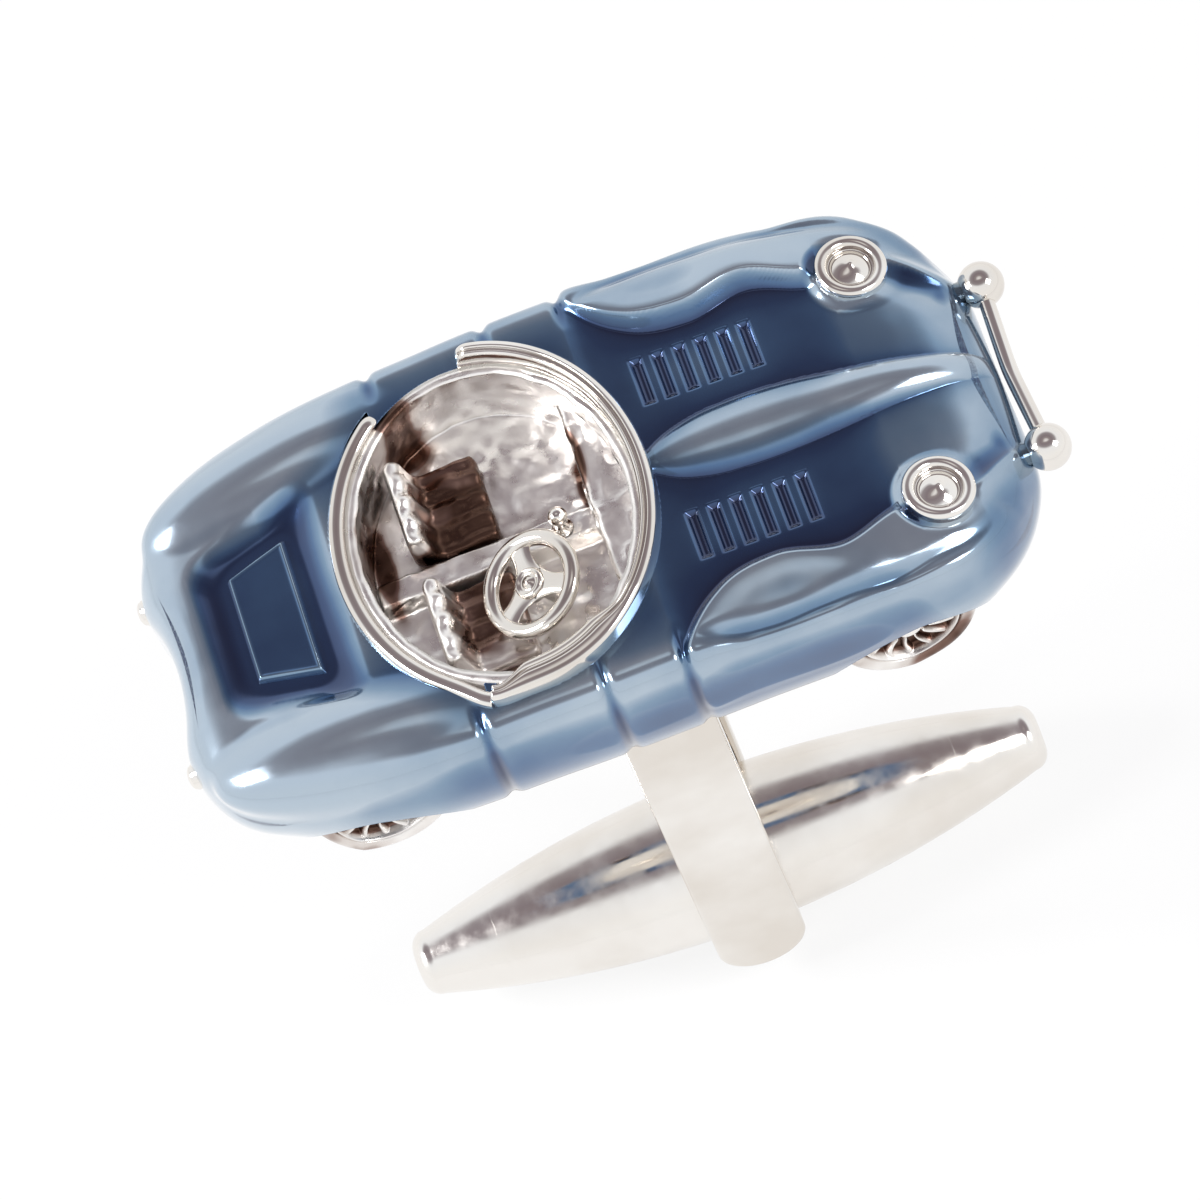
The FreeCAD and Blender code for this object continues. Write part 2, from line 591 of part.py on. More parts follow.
def spin(body, sketch, name):
    feature = body.newObject("PartDesign::Revolution", name)
    feature.Profile = sketch
    feature.ReferenceAxis = (sketch, ["H_Axis"])
    feature.Angle = 360
    doc.recompute()
    return feature


def toggle_shell():
    import Sketcher
    body = doc.addObject("PartDesign::Body", "toggle_shell")
    outline = sketch_on(body, "toggle_outline", "XZ_Plane")
    half, bore = size("toggle_shell_half"), size("toggle_bore")
    edge = arc_height(half)
    arc = toggle_arc(outline, "-Sizes.toggle_shell_half", "Sizes.toggle_shell_half")
    right = line(outline, (half, edge), (half, bore))
    inner = line(outline, (half, bore), (-half, bore))
    left = line(outline, (-half, bore), (-half, edge))
    link(outline, (((arc, 1), (right, 1)), ((right, 2), (inner, 1)), ((inner, 2), (left, 1)), ((left, 2), (arc, 2))))
    outline.addConstraint(Sketcher.Constraint("Vertical", right))
    outline.addConstraint(Sketcher.Constraint("Vertical", left))
    outline.addConstraint(Sketcher.Constraint("Horizontal", inner))
    fix_point(outline, inner, 1, None, "Sizes.toggle_bore")
    spin(body, outline, "toggle_turning")

    cross = sketch_on(body, "toggle_cross_bore", "XZ_Plane")
    cross.addGeometry(Part.Circle(Vector(), Z_AXIS, size("pin_radius") + size("pin_clearance")), False)
    fix_point(cross, 0, 3, "0", "0")
    number = cross.addConstraint(Sketcher.Constraint("Radius", 0, size("pin_radius") + size("pin_clearance")))
    cross.setExpression("Constraints[%d]" % number, "Sizes.pin_radius + Sizes.pin_clearance")
    hole = body.newObject("PartDesign::Pocket", "toggle_pin_hole")
    hole.Profile = cross
    hole.SideType = "Symmetric"
    bind(hole, Length="4 * Sizes.toggle_belly")
    doc.recompute()
    put(body, "0", "0", "-Sizes.pivot_depth")
    return body


def toggle_cap(name, turn):
    import Sketcher
    body = doc.addObject("PartDesign::Body", name)
    outline = sketch_on(body, name + "_outline", "XZ_Plane")
    half, bore, tip = size("toggle_shell_half"), size("toggle_bore"), size("toggle_length") / 2
    root = half - size("cap_spigot")
    end_height = size("toggle_tip")
    arc = toggle_arc(outline, "Sizes.toggle_shell_half", "Sizes.toggle_length / 2")
    face = line(outline, (tip, end_height), (tip, 0))
    axis = line(outline, (tip, 0), (root, 0))
    spigot_end = line(outline, (root, 0), (root, bore))
    spigot = line(outline, (root, bore), (half, bore))
    step = line(outline, (half, bore), (half, arc_height(half)))
    link(outline, (((arc, 1), (face, 1)), ((face, 2), (axis, 1)), ((axis, 2), (spigot_end, 1)),
                   ((spigot_end, 2), (spigot, 1)), ((spigot, 2), (step, 1)), ((step, 2), (arc, 2))))
    for upright in (face, spigot_end, step):
        outline.addConstraint(Sketcher.Constraint("Vertical", upright))
    for level in (axis, spigot):
        outline.addConstraint(Sketcher.Constraint("Horizontal", level))
    fix_point(outline, axis, 2, "Sizes.toggle_shell_half - Sizes.cap_spigot", "0")
    fix_point(outline, spigot, 1, None, "Sizes.toggle_bore")
    turning = spin(body, outline, name + "_turning")
    limit = size("toggle_length") / 2
    rim = [
        "Edge%d" % (k + 1) for k, edge in enumerate(turning.Shape.Edges)
        if edge.BoundBox.XMin > limit - 0.01 and edge.BoundBox.YLength > size("toggle_tip")
    ]
    rounding = body.newObject("PartDesign::Fillet", name + "_round")
    rounding.Base = (turning, rim)
    bind(rounding, Radius="Sizes.tip_round")
    doc.recompute()
    put(body, "0", "0", "-Sizes.pivot_depth", turn)
    return body


def leaf_spring():
    inner = "(Sizes.cam_side / 2)"
    outer = "(Sizes.cam_side / 2 + Sizes.spring_thickness)"

    def hairpin(name, radius, width):
        centre = "-Sizes.pivot_depth"
        blades = lengthwise_box(name + "_blades", "-Sizes.spring_half_length", "Sizes.spring_half_length",
                                "-" + width, width, centre + " - " + radius, centre + " + " + radius)
        bend = primitive("Cylinder", name + "_bend", turn=Rotation(X_AXIS, -90),
                         at=("Sizes.spring_half_length", "-" + width, centre), Radius=radius, Height="2 * " + width)
        return join(name, [blades, bend])

    strip = hairpin("spring_strip", outer, "(Sizes.spring_width / 2)")
    gap = hairpin("spring_gap", inner, "Sizes.spring_width")
    mouth = lengthwise_box("spring_mouth", "-2 * Sizes.spring_half_length", "0", "-Sizes.spring_width",
                           "Sizes.spring_width", "-Sizes.pivot_depth - " + inner, "-Sizes.pivot_depth + " + inner)
    return cut("leaf_spring", strip, join("spring_void", [gap, mouth]))


# Body: hull, wings and bulge joined, then the openings, sockets and lines cut

def surface_height(shape, x, y):
    """Height of the top of a shape over a point of the plan."""
    plumb = Part.LineSegment(Vector(x, y, 0.1), Vector(x, y, 3 * size("door_crown"))).toShape()
    return shape.common(plumb).BoundBox.ZMax


def louvre_cutters(shape):
    cutters = []
    for side_name, side in SIDES:
        for k in range(int(size("louvre_count"))):
            x = size("louvre_first_x") + k * size("louvre_pitch")
            top = surface_height(shape, x, side * size("louvre_y"))
            cutters.append(primitive(
                "Box", "louvre_%s_%d" % (side_name, k), Length="Sizes.louvre_width", Width="Sizes.louvre_length",
                Height=OVER, at=(
                    "Sizes.louvre_first_x + %d * Sizes.louvre_pitch - Sizes.louvre_width / 2" % k,
                    "%d * Sizes.louvre_y - Sizes.louvre_length / 2" % side, "%.6f - Sizes.louvre_depth" % top)))
    return cutters


def line_cutters():
    bars = []
    for name in ("door_rear_line", "door_front_line", "bonnet_line"):
        for side_name, side in SIDES:
            near, far = "Sizes.line_inner_y", "2 * Sizes.line_inner_y"
            span = (near, far) if side > 0 else ("-" + far, "-" + near)
            bars.append(lengthwise_box(
                "%s_%s" % (name, side_name), "Sizes.%s_x - Sizes.line_width / 2" % name,
                "Sizes.%s_x + Sizes.line_width / 2" % name, *span, "-1", OVER))
    return cut("panel_lines", join("panel_line_bars", bars), hull("line_core", size("line_depth")))


def body_shell(sockets):
    main = hull("hull")
    forms = [main]
    for side_name, side in SIDES:
        for wing, toe in (("front_wing", -side), ("rear_wing", side)):
            dip = Rotation(Y_AXIS, size(wing + "_dip"))
            turn = Rotation(Z_AXIS, toe * size(wing + "_toe")).multiply(dip)
            forms.append(ellipsoid(wing + "_" + side_name, wing, "Sizes.%s_x" % wing,
                                   "%d * Sizes.%s_y" % (side, wing), "Sizes.%s_z" % wing, turn))
    forms.append(ellipsoid("bonnet_bulge", "bulge", "Sizes.bulge_x", "0", "Sizes.bulge_z",
                           Rotation(Y_AXIS, size("bulge_dip"))))
    blank = join("body_blank", forms)
    doc.recompute()

    steps = [
        ("louvred", group("louvres", louvre_cutters(blank.Shape))),
        ("lined", line_cutters()),
        ("front_seated", common("front_rim_seat", rim_ring("front_seat_ring"), front_span("front_seat_span"))),
        ("rear_seated", common("rear_rim_seat", rim_ring("rear_seat_ring"), rear_span("rear_seat_span"))),
        ("tub_opened", oval("tub_opening", *INNER, "-1", OVER)),
        ("recessed", cut("boot_recess", trapezoid("recess_prism", "recess"), hull("recess_floor", size("recess_depth")))),
        ("mouthed", primitive("Ellipsoid", "mouth", at=("Sizes.nose_x + 0.05", "0", "Sizes.mouth_z"),
                              Radius2="Sizes.mouth_depth", Radius3="Sizes.mouth_half_width",
                              Radius1="Sizes.mouth_half_height")),
        ("notched", primitive("Cylinder", "tail_notch", Radius="Sizes.notch_radius", Height=OVER,
                              at=("Sizes.tail_x - Sizes.notch_radius + Sizes.notch_depth", "0", "-1"))),
        ("arched", group("arches", [
            sideways("%s_arch_%s" % (axle, side_name), side, "Sizes.%s_axle_x" % axle, ARCH_Z, "Sizes.arch_radius",
                     "Sizes.wheel_inner_y", "2 * Sizes.wheel_inner_y")
            for axle in ("front", "rear") for side_name, side in SIDES])),
        ("pocketed", group("overrider_pockets", [overrider_pocket(*side) for side in SIDES])),
        ("plate_seated", plate_blank("plate_seat", "Sizes.plate_clearance")),
    ]
    steps += [("fitted_%d" % k, socket) for k, socket in enumerate(sockets)]
    opened = blank
    for name, tool in steps:
        opened = cut(name, opened, tool)
        doc.recompute()
        if not opened.Shape.Solids:
            raise RuntimeError("%s left nothing of the body" % name)
    # Slivers thinner than the casting could hold are left off
    return solid("body_shell", max(opened.Shape.Solids, key=lambda piece: piece.Volume))


def boot_panel():
    inside = common("panel_prism", trapezoid("panel_outline", "panel"), hull("panel_top", size("panel_sink")))
    return cut("boot_panel", inside, hull("panel_floor", size("recess_depth")))


bumper = front_bumper()
fittings = [headlamp(*side) for side in SIDES]
fittings += [overrider(side_name, side, bumper) for side_name, side in SIDES]
fittings += [tail_lamp(*side) for side in SIDES]
pieces = [
    body_shell([socket for _, socket in fittings]), boot_panel(), cockpit_tub(), windscreen_frame(),
    rear_cockpit_rim(), seat("passenger_seat", 1), seat("driver_seat", -1), dashboard(), gear_lever(),
    steering_wheel(), bumper, plate_blank("back_plate", "0"), yoke(), pivot_pin(), toggle_shell(),
    toggle_cap("toggle_cap_front", Rotation()), toggle_cap("toggle_cap_rear", Rotation(Z_AXIS, 180)), leaf_spring(),
]
pieces += [fitting for fitting, _ in fittings]
pieces += [road_wheel(axle, *side) for axle in ("front", "rear") for side in SIDES]
doc.recompute()

for item in doc.Objects:
    if "Invalid" in item.State or "Error" in item.State:
        raise RuntimeError("%s failed: %s" % (item.Name, item.State))
for piece in pieces:
    if piece.Shape.isNull() or not piece.Shape.isValid():
        raise RuntimeError("%s has no valid shape" % piece.Name)

os.makedirs("parts", exist_ok=True)
for piece in pieces:
    piece.Label = piece.Name
    piece.Shape.exportStep("parts/%s.step" % piece.Label)
    print("%-20s %d solid(s) %8.3f mm3" % (piece.Label, len(piece.Shape.Solids), piece.Shape.Volume))
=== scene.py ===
import math
import bpy
import numpy as np
from mathutils import Matrix, Vector


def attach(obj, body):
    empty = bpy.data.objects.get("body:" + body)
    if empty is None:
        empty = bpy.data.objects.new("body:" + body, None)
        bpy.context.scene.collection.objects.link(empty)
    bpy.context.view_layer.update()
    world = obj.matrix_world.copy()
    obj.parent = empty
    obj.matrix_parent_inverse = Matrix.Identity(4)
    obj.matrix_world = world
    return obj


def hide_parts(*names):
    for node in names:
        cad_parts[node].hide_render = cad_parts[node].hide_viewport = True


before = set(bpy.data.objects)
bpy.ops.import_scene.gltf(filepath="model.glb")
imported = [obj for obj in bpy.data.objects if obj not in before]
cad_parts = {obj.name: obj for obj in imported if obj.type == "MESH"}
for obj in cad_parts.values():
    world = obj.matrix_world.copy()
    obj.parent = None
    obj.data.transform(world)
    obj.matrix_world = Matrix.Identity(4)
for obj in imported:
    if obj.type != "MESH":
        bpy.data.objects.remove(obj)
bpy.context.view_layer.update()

scene = bpy.context.scene
ROOT, TOGGLE = "face_and_post", "toggle"
MM = 0.001

# Sizes of the part in millimetres, as in its CAD source
STATION_X = (-11.95, -11.2, -9.9, -7.6, -2.4, 2.6, 7.0, 9.5, 10.8, 11.65)
HALF_WIDTH = (3.3, 4.25, 5.1, 5.85, 6.2, 6.2, 6.1, 5.65, 4.6, 3.3)
SHOULDER = (2.05, 2.5, 2.85, 3.15, 3.55, 3.6, 3.3, 2.85, 2.25, 1.55)
CROWN = (2.35, 2.75, 3.05, 3.3, 3.65, 3.7, 3.45, 3.0, 2.45, 1.8)
TAIL_X, NOSE_X, DOOR_HALF = STATION_X[0], STATION_X[-1], max(HALF_WIDTH)
SILL_INSET, SHOULDER_INSET, WAIST_SHARE, LEAN_LIMIT = 0.3, 0.25, 0.45, 1.6
NOTCH_RADIUS, NOTCH_DEPTH = 5.5, 0.45
# How far the faces of the hull blend into each other
SIDE_BLEND, NOSE_BLEND, NOTCH_BLEND, TAIL_BLEND = 0.5, 0.7, 0.15, 0.8
REAR_WING = dict(centre=(-7.3, 4.3, 2.45), radii=(4.1, 1.45, 1.25), toe=-6.0, dip=-4.0)
REAR_WING_BLEND = 0.35
# Front wings: the inner edge's distance from the centre line, and the height of the step there, along the car
WING_X = (1.2, 1.6, 2.0, 2.8, 4.4, 6.2, 7.6, 8.4, 9.2, 10.2, 11.0)
WING_EDGE = (5.9, 5.4, 4.95, 4.35, 4.0, 4.35, 3.85, 3.65, 3.7, 4.0, 4.1)
WING_STEP = (0.0, 0.22, 0.36, 0.52, 0.6, 0.58, 0.5, 0.4, 0.26, 0.08, 0.0)
# Across a front wing: span of its inner wall, the step's shares above and below the deck, and fall outwards
WING_WALL, WING_RISE, WING_SINK, WING_FALL, FALL_SPAN = (-0.28, 0.22), 0.55, 0.45, 0.8, (0.2, 1.7)
# Crease under each front wing: its distance from the centre line and its depth, along the car
CREASE_X = (1.4, 2.2, 3.5, 5.6, 7.9, 9.4, 10.4)
CREASE_Y = (5.5, 5.62, 5.75, 5.7, 5.5, 5.1, 4.5)
CREASE_DEPTH = (0.0, 0.12, 0.15, 0.14, 0.15, 0.1, 0.0)
CREASE_WIDTH, CREASE_LEVELS = 0.24, (2.2, 2.8)
# Bonnet bulge: half width and height along the car
BULGE_X = (1.9, 2.2, 2.7, 3.5, 4.8, 6.1, 7.5, 8.8, 10.0, 11.0, 11.5)
BULGE_HALF = (0.05, 0.25, 0.55, 0.82, 0.95, 0.92, 0.76, 0.58, 0.42, 0.3, 0.2)
BULGE_RISE = (0.0, 0.16, 0.3, 0.42, 0.46, 0.46, 0.44, 0.4, 0.32, 0.16, 0.0)
BULGE_MARGIN, BULGE_POWER = 0.1, 0.7
# The wings and the bulge fade out between these heights on the sides and the nose
RELIEF_LEVELS = (0.8, 1.8)
# Ridge from each headlamp to its overrider, with a hollow on each side: height, place and width
LAMP_PLACE, LAMP_CLEARANCE, RIDGE_START, RIDGE_END = (8.95, 3.65), (0.9, 1.35), (9.8, 3.9), (11.4, 2.7)
RIDGE_WAVES = ((0.14, 0.0, 0.2), (-0.16, -0.65, 0.4), (-0.12, 0.6, 0.35))
LOUVRE_X = 2.75 + 0.6 * np.arange(6)
LOUVRE_Y, LOUVRE_LENGTH, LOUVRE_WIDTH, LOUVRE_DEPTH, LOUVRE_SOFT = 2.5, 1.4, 0.27, 0.14, (-0.1, 0.12)
LINE_X, LINE_WIDTH, LINE_DEPTH, LINE_SPAN = (-4.2, -0.85, 1.3), 0.16, 0.12, (4.7, 5.6)
MOUTH_HALF, MOUTH_Z, MOUTH_DEPTH, MOUTH_SOFT = (0.6, 2.1, 0.5), 0.9, 0.5, (1.15, 0.55)
RECESS = dict(rear=-10.15, front=-6.9, rear_width=4.5, front_width=6.2)
PANEL = dict(rear=-9.5, front=-7.55, rear_width=3.4, front_width=4.5)
RECESS_DEPTH, RECESS_SOFT, RECESS_CORNER = 0.34, 0.45, 0.8
# Boot panel: how far it lies under the deck, and the crest and the drop at its edge
PANEL_SINK, PANEL_CREST, PANEL_DROP, PANEL_LIP = 0.16, 0.03, 0.3, 0.2
COCKPIT_X, COCKPIT_A, COCKPIT_B = -2.2, 4.4, 5.3
RIM_WIDTH, RIM_LEDGE, RIM_STAND, SCREEN_STAND = 0.45, 1.7, 0.22, 0.6
REAR_RIM_LEFT, REAR_RIM_RIGHT, SCREEN_LEFT, SCREEN_RIGHT = -4.4, -3.8, -1.7, -3.5
RIM_CREST, RIM_GROOVE, RIM_END, RIM_BURIED, RIM_OVERLAP = 0.17, 0.13, 0.45, 0.1, 0.03
WELL_A, WELL_B = COCKPIT_A - RIM_WIDTH, COCKPIT_B - RIM_WIDTH
TUB_WALL, TUB_BASE, FLOOR_TOP, TUNNEL_HALF, TUNNEL_HEIGHT = 0.3, 0.62, 1.5, 0.45, 0.55
TUB_A, TUB_B, CAST_ROUGH = WELL_A - TUB_WALL, WELL_B - TUB_WALL, 0.05
SEAT_X, SEAT_Y, SEAT_HALF, SEAT_ROUND, SEAT_RIB = -4.6, 1.9, 1.35, 0.2, 0.06
BACK_MIDDLE, BACK_TOP, CUSHION_MIDDLE, CUSHION_FRONT = 0.27, 1.38, 0.25, 2.15
SEAT_OUTLINE = ((0, 0), (1.2, 0), (2.4, 0), (2.42, 0.3), (2.3, 0.52), (1.6, 0.5), (0.95, 0.38), (0.72, 0.5),
                (0.6, 1.0), (0.5, 1.5), (0.25, 1.64), (0, 1.5), (0, 0.7))
DASH_FRONT, DASH_LOW, DASH_HIGH, DASH_HALF, DASH_ROUND = 0.35, 1.8, 2.9, 3.25, 0.2
DIAL_Y, DIAL_Z = (-0.55, 0.0, 0.55), 2.35
STEERING_PLACE, STEERING_TILT, STEERING_RADIUS, STEERING_GRIP = (-1.82, -1.83, 2.95), -24.0, 1.29, 0.23
LEVER_X, LEVER_KNOB, LEVER_HEIGHT = -0.6, 0.27, 0.6
# Brown patches of painted shade in the cockpit, behind the seats, at the dashboard's foot and by the tub's
# wall: place and half sizes
SHADE_PATCHES = ((-5.45, 0.8, 0.4, 1.7), (0.35, 1.4, 0.3, 1.2), (-3.9, 4.1, 0.8, 0.6))
LAMP_Z, LAMP_LEAN, LAMP_RADIUS, LENS_RADIUS = 3.23, 12.0, 0.98, 0.56
OVERRIDER_X, OVERRIDER_Y, OVERRIDER_Z, OVERRIDER_RADIUS = 12.05, 2.7, 1.6, 0.635
TAIL_LAMP_X, TAIL_LAMP_Y, TAIL_LAMP_Z = 11.99, 2.65, 1.2
BUMPER_X, BUMPER_Z, BUMPER_RADIUS = 11.9, 1.4, 0.22
ARCH_RADIUS, ARCH_Z, ARCH_GAP, WHEEL_RADIUS, WHEEL_Z = 3.1, -2.35, 0.22, 1.95, 0.5
WHEEL_INNER_Y, WHEEL_CLEARANCE, WHEEL_RELIEF = 4.4, 0.05, 0.34
FRONT_AXLE, FRONT_WHEEL_Y, REAR_AXLE, REAR_WHEEL_Y = 7.0, 5.8, -7.6, 5.3
PLATE_HALF_X, PLATE_HALF_Y, PLATE_CORNER, PLATE_THICK, PLATE_GAP = 8.5, 3.8, 2.0, 0.6, 0.03
PIVOT_Z, ARM_WIDTH, ARM_INNER, ARM_OUTER, BRIDGE = -18.4, 2.7, 2.45, 3.3, 1.1
PIN_RADIUS, PIN_SQUARE_HALF, PIN_SQUARE_END, PIN_FLUSH = 0.6, 0.42, 0.86, 0.02
TOGGLE_HALF, TOGGLE_BELLY, TOGGLE_TIP, SHELL_HALF, BORE = 9.8, 2.35, 0.85, 7.2, 1.0
CAP_PLUG, CAP_ROUND, CAP_SHRINK = 1.2, 0.5, 0.55
# Broken edge where the toggle's shell meets its caps: length along the bar and drop
SEAM_LENGTH, SEAM_DROP = 0.003, 0.001


# Small numeric helpers

def smooth_step(low, high, value):
    ramp = np.clip((value - low) / (high - low), 0, 1)
    return ramp * ramp * (3 - 2 * ramp)


def smooth_min(a, b, width):
    share = np.clip(0.5 + 0.5 * (b - a) / width, 0, 1)
    return b * (1 - share) + a * share - width * share * (1 - share)


def smooth_max(a, b, width):
    return -smooth_min(-a, -b, width)


def bell(value, place, width):
    return np.exp(-((value - place) / width) ** 2)


def rotation(degrees, axis):
    return Matrix.Rotation(math.radians(degrees), 3, axis)


def full_turn(count):
    return np.linspace(0, 2 * np.pi, count, endpoint=False)


def arc(centre, radii, first, last, count):
    """Points on an ellipse from one angle to another."""
    return [(centre[0] + radii[0] * math.cos(t), centre[1] + radii[1] * math.sin(t))
            for t in np.linspace(first, last, count)]


def ball(height, radius, count):
    """Profile of a ball on a stem, up to its top."""
    return arc((0, height), (radius, radius), 0.5 - math.pi / 2, math.pi / 2, count)


TABLE_X = np.linspace(TAIL_X, NOSE_X, 3001)


def curve(places, values):
    """A smooth function of the place along the car, through the given values."""
    places, values = np.array(places), np.array(values)
    slopes = np.gradient(values, places)
    at = np.clip(TABLE_X, places[0], places[-1])
    k = np.clip(np.searchsorted(places, at) - 1, 0, len(places) - 2)
    step = places[k + 1] - places[k]
    part = (at - places[k]) / step
    table = (values[k] * (1 + 2 * part) * (1 - part) ** 2 + values[k + 1] * part ** 2 * (3 - 2 * part)
             + step * slopes[k] * part * (1 - part) ** 2 + step * slopes[k + 1] * part ** 2 * (part - 1))
    return lambda x: np.interp(x, TABLE_X, table)


half_width = curve(STATION_X, HALF_WIDTH)
shoulder_height, crown_height = curve(STATION_X, SHOULDER), curve(STATION_X, CROWN)
wing_edge, wing_step = curve(WING_X, WING_EDGE), curve(WING_X, WING_STEP)
crease_place, crease_depth = curve(CREASE_X, CREASE_Y), curve(CREASE_X, CREASE_DEPTH)
bulge_half, bulge_rise = curve(BULGE_X, BULGE_HALF), curve(BULGE_X, BULGE_RISE)
LATTICE_SIZE = 32
LATTICE = np.random.RandomState(7).rand(LATTICE_SIZE, LATTICE_SIZE, LATTICE_SIZE)


def grain(points, scale):
    """Smooth random values from -1 to 1 in space."""
    p = np.asarray(points) / scale
    cell = np.floor(p).astype(int)
    part = p - cell
    part = part * part * (3 - 2 * part)
    total = 0
    for corner in range(8):
        bit = np.array([corner & 1, corner >> 1 & 1, corner >> 2 & 1])
        weight = np.prod(np.where(bit, part, 1 - part), axis=-1)
        at = (cell + bit) % LATTICE_SIZE
        total = total + weight * LATTICE[at[..., 0], at[..., 1], at[..., 2]]
    return total * 2 - 1


# The body as a solid function: negative inside

def section(x):
    """Half width, shoulder height and crown height of the plain hull."""
    return half_width(x), shoulder_height(x), crown_height(x)


def crowned(y, half, shoulder, crown):
    """Height of the plain hull's top in a section."""
    return shoulder + (crown - shoulder) * (1 - (y / (half - SHOULDER_INSET)) ** 2)


def deck_height(x, y):
    """Height of the plain hull's top, which the rims and the boot panel follow."""
    return crowned(y, *section(x))


def hull(x, y, z):
    half, shoulder, crown = section(x)
    waist = WAIST_SHARE * shoulder
    under = np.clip((waist - z) / waist, 0, 1)
    over = np.clip((z - waist) / (shoulder - waist), 0, LEAN_LIMIT)
    side = np.abs(y) - (half - SILL_INSET * under ** 2 - SHOULDER_INSET * over ** 2)
    shape = smooth_max(side, z - crowned(y, half, shoulder, crown), SIDE_BLEND)
    shape = smooth_max(shape, x - NOSE_X, NOSE_BLEND)
    notch = TAIL_X - NOTCH_RADIUS + NOTCH_DEPTH + np.sqrt(np.clip(NOTCH_RADIUS ** 2 - y * y, 0.01, None))
    tail = smooth_max(notch - x, TAIL_X - x, NOTCH_BLEND)
    return smooth_max(shape, tail, TAIL_BLEND)


def ellipsoid(x, y, z, centre, radii, toe, dip):
    """Distance to a leaning ellipsoid, mirrored to both sides of the car."""
    turn = np.array(rotation(-toe, "Z") @ rotation(dip, "Y"))
    local = np.stack([x - centre[0], np.abs(y) - centre[1], z - centre[2]], axis=-1) @ turn
    scaled = np.linalg.norm(local / np.array(radii), axis=-1)
    return scaled * (scaled - 1) / np.maximum(np.linalg.norm(local / np.array(radii) ** 2, axis=-1), 1e-6)


def in_recess(x, y):
    """From 0 outside the boot recess to 1 inside it."""
    rear, front = RECESS["rear"], RECESS["front"]
    along = (x - rear) / (front - rear)
    half = (RECESS["rear_width"] + (RECESS["front_width"] - RECESS["rear_width"]) * along) / 2
    ends = smooth_min(x - rear, front - x, RECESS_CORNER)
    return smooth_step(-RECESS_SOFT, RECESS_SOFT, smooth_min(ends, half - np.abs(y), RECESS_CORNER))


def grooves(x, y, z):
    """How far the surface is drawn in: boot recess, louvres, panel lines, creases and mouth."""
    aside = np.abs(y)
    depth = RECESS_DEPTH * in_recess(x, y)
    for place in LOUVRE_X:
        edge = np.minimum(LOUVRE_WIDTH / 2 - np.abs(x - place), LOUVRE_LENGTH / 2 - np.abs(aside - LOUVRE_Y))
        depth = depth + LOUVRE_DEPTH * smooth_step(*LOUVRE_SOFT, edge)
    for place in LINE_X:
        depth = depth + LINE_DEPTH * bell(x, place, LINE_WIDTH) * smooth_step(*LINE_SPAN, aside)
    crease = bell(aside, crease_place(x), CREASE_WIDTH) * smooth_step(*CREASE_LEVELS, z)
    depth = depth + crease * crease_depth(x)
    from_mouth = (x - NOSE_X, y, z - MOUTH_Z)
    mouth = sum((away / half) ** 2 for away, half in zip(from_mouth, MOUTH_HALF))
    return depth + MOUTH_DEPTH * smooth_step(*MOUTH_SOFT, mouth)


def beside_ridge(x, y):
    """Share of the way along the nose's ridge, and the distance from it, which is below zero outside it."""
    start, end = np.array(RIDGE_START), np.array(RIDGE_END)
    length = np.linalg.norm(end - start)
    step = (end - start) / length
    along = (x - start[0]) * step[0] + (np.abs(y) - start[1]) * step[1]
    beside = (x - start[0]) * step[1] - (np.abs(y) - start[1]) * step[0]
    return along / length, beside


def bonnet_relief(x, y):
    """How far the front wings, bulge and ridges stand out, and the valleys are sunk."""
    aside = np.abs(y)
    out = aside - wing_edge(x)
    crest = smooth_step(*WING_WALL, out)
    by_lamp = smooth_step(*LAMP_CLEARANCE, np.hypot(x - LAMP_PLACE[0], aside - LAMP_PLACE[1]))
    fall = 1 - WING_FALL * smooth_step(*FALL_SPAN, out)
    wing = wing_step(x) * by_lamp * (WING_RISE * crest * fall - WING_SINK * (1 - crest))
    across = aside / (bulge_half(x) + BULGE_MARGIN)
    bulge = bulge_rise(x) * np.clip(1 - across ** 2, 0, 1) ** BULGE_POWER
    along, beside = beside_ridge(x, y)
    ends = smooth_step(-0.1, 0.2, along) * smooth_step(1.1, 0.8, along)
    ridge = sum(height * bell(beside, place, width) for height, place, width in RIDGE_WAVES)
    return wing + bulge + ridge * ends


def body_form(x, y, z):
    shape = smooth_min(hull(x, y, z), ellipsoid(x, y, z, **REAR_WING), REAR_WING_BLEND)
    return shape - bonnet_relief(x, y) * smooth_step(*RELIEF_LEVELS, z)


# Mesh helpers: points in millimetres

def make_object(name, points, faces, material, **attributes):
    mesh = bpy.data.meshes.new(name)
    mesh.from_pydata((np.asarray(points, float) * MM).tolist(), [], faces)
    mesh.validate()
    for face in mesh.polygons:
        face.use_smooth = face.loop_total < 9
    for key, values in attributes.items():
        mesh.attributes.new(key, "FLOAT", "POINT").data.foreach_set("value", np.asarray(values, np.float32))
    mesh.materials.append(material)
    obj = bpy.data.objects.new(name, mesh)
    scene.collection.objects.link(obj)
    return obj


def grid_faces(rows, columns, wrap=False, start=0):
    row, column = np.meshgrid(np.arange(rows - 1), np.arange(columns if wrap else columns - 1), indexing="ij")
    after = (column + 1) % columns
    this, following = row * columns, (row + 1) * columns
    quads = np.stack([this + column, this + after, following + after, following + column], -1)
    return (quads.reshape(-1, 4) + start).tolist()


def unit(vectors):
    return vectors / np.maximum(np.linalg.norm(vectors, axis=-1), 1e-9)[..., None]


def outward(edges):
    """Unit vectors square to the edges of a flat outline."""
    edges = unit(edges)
    return np.stack([edges[:, 1], -edges[:, 0]], 1)


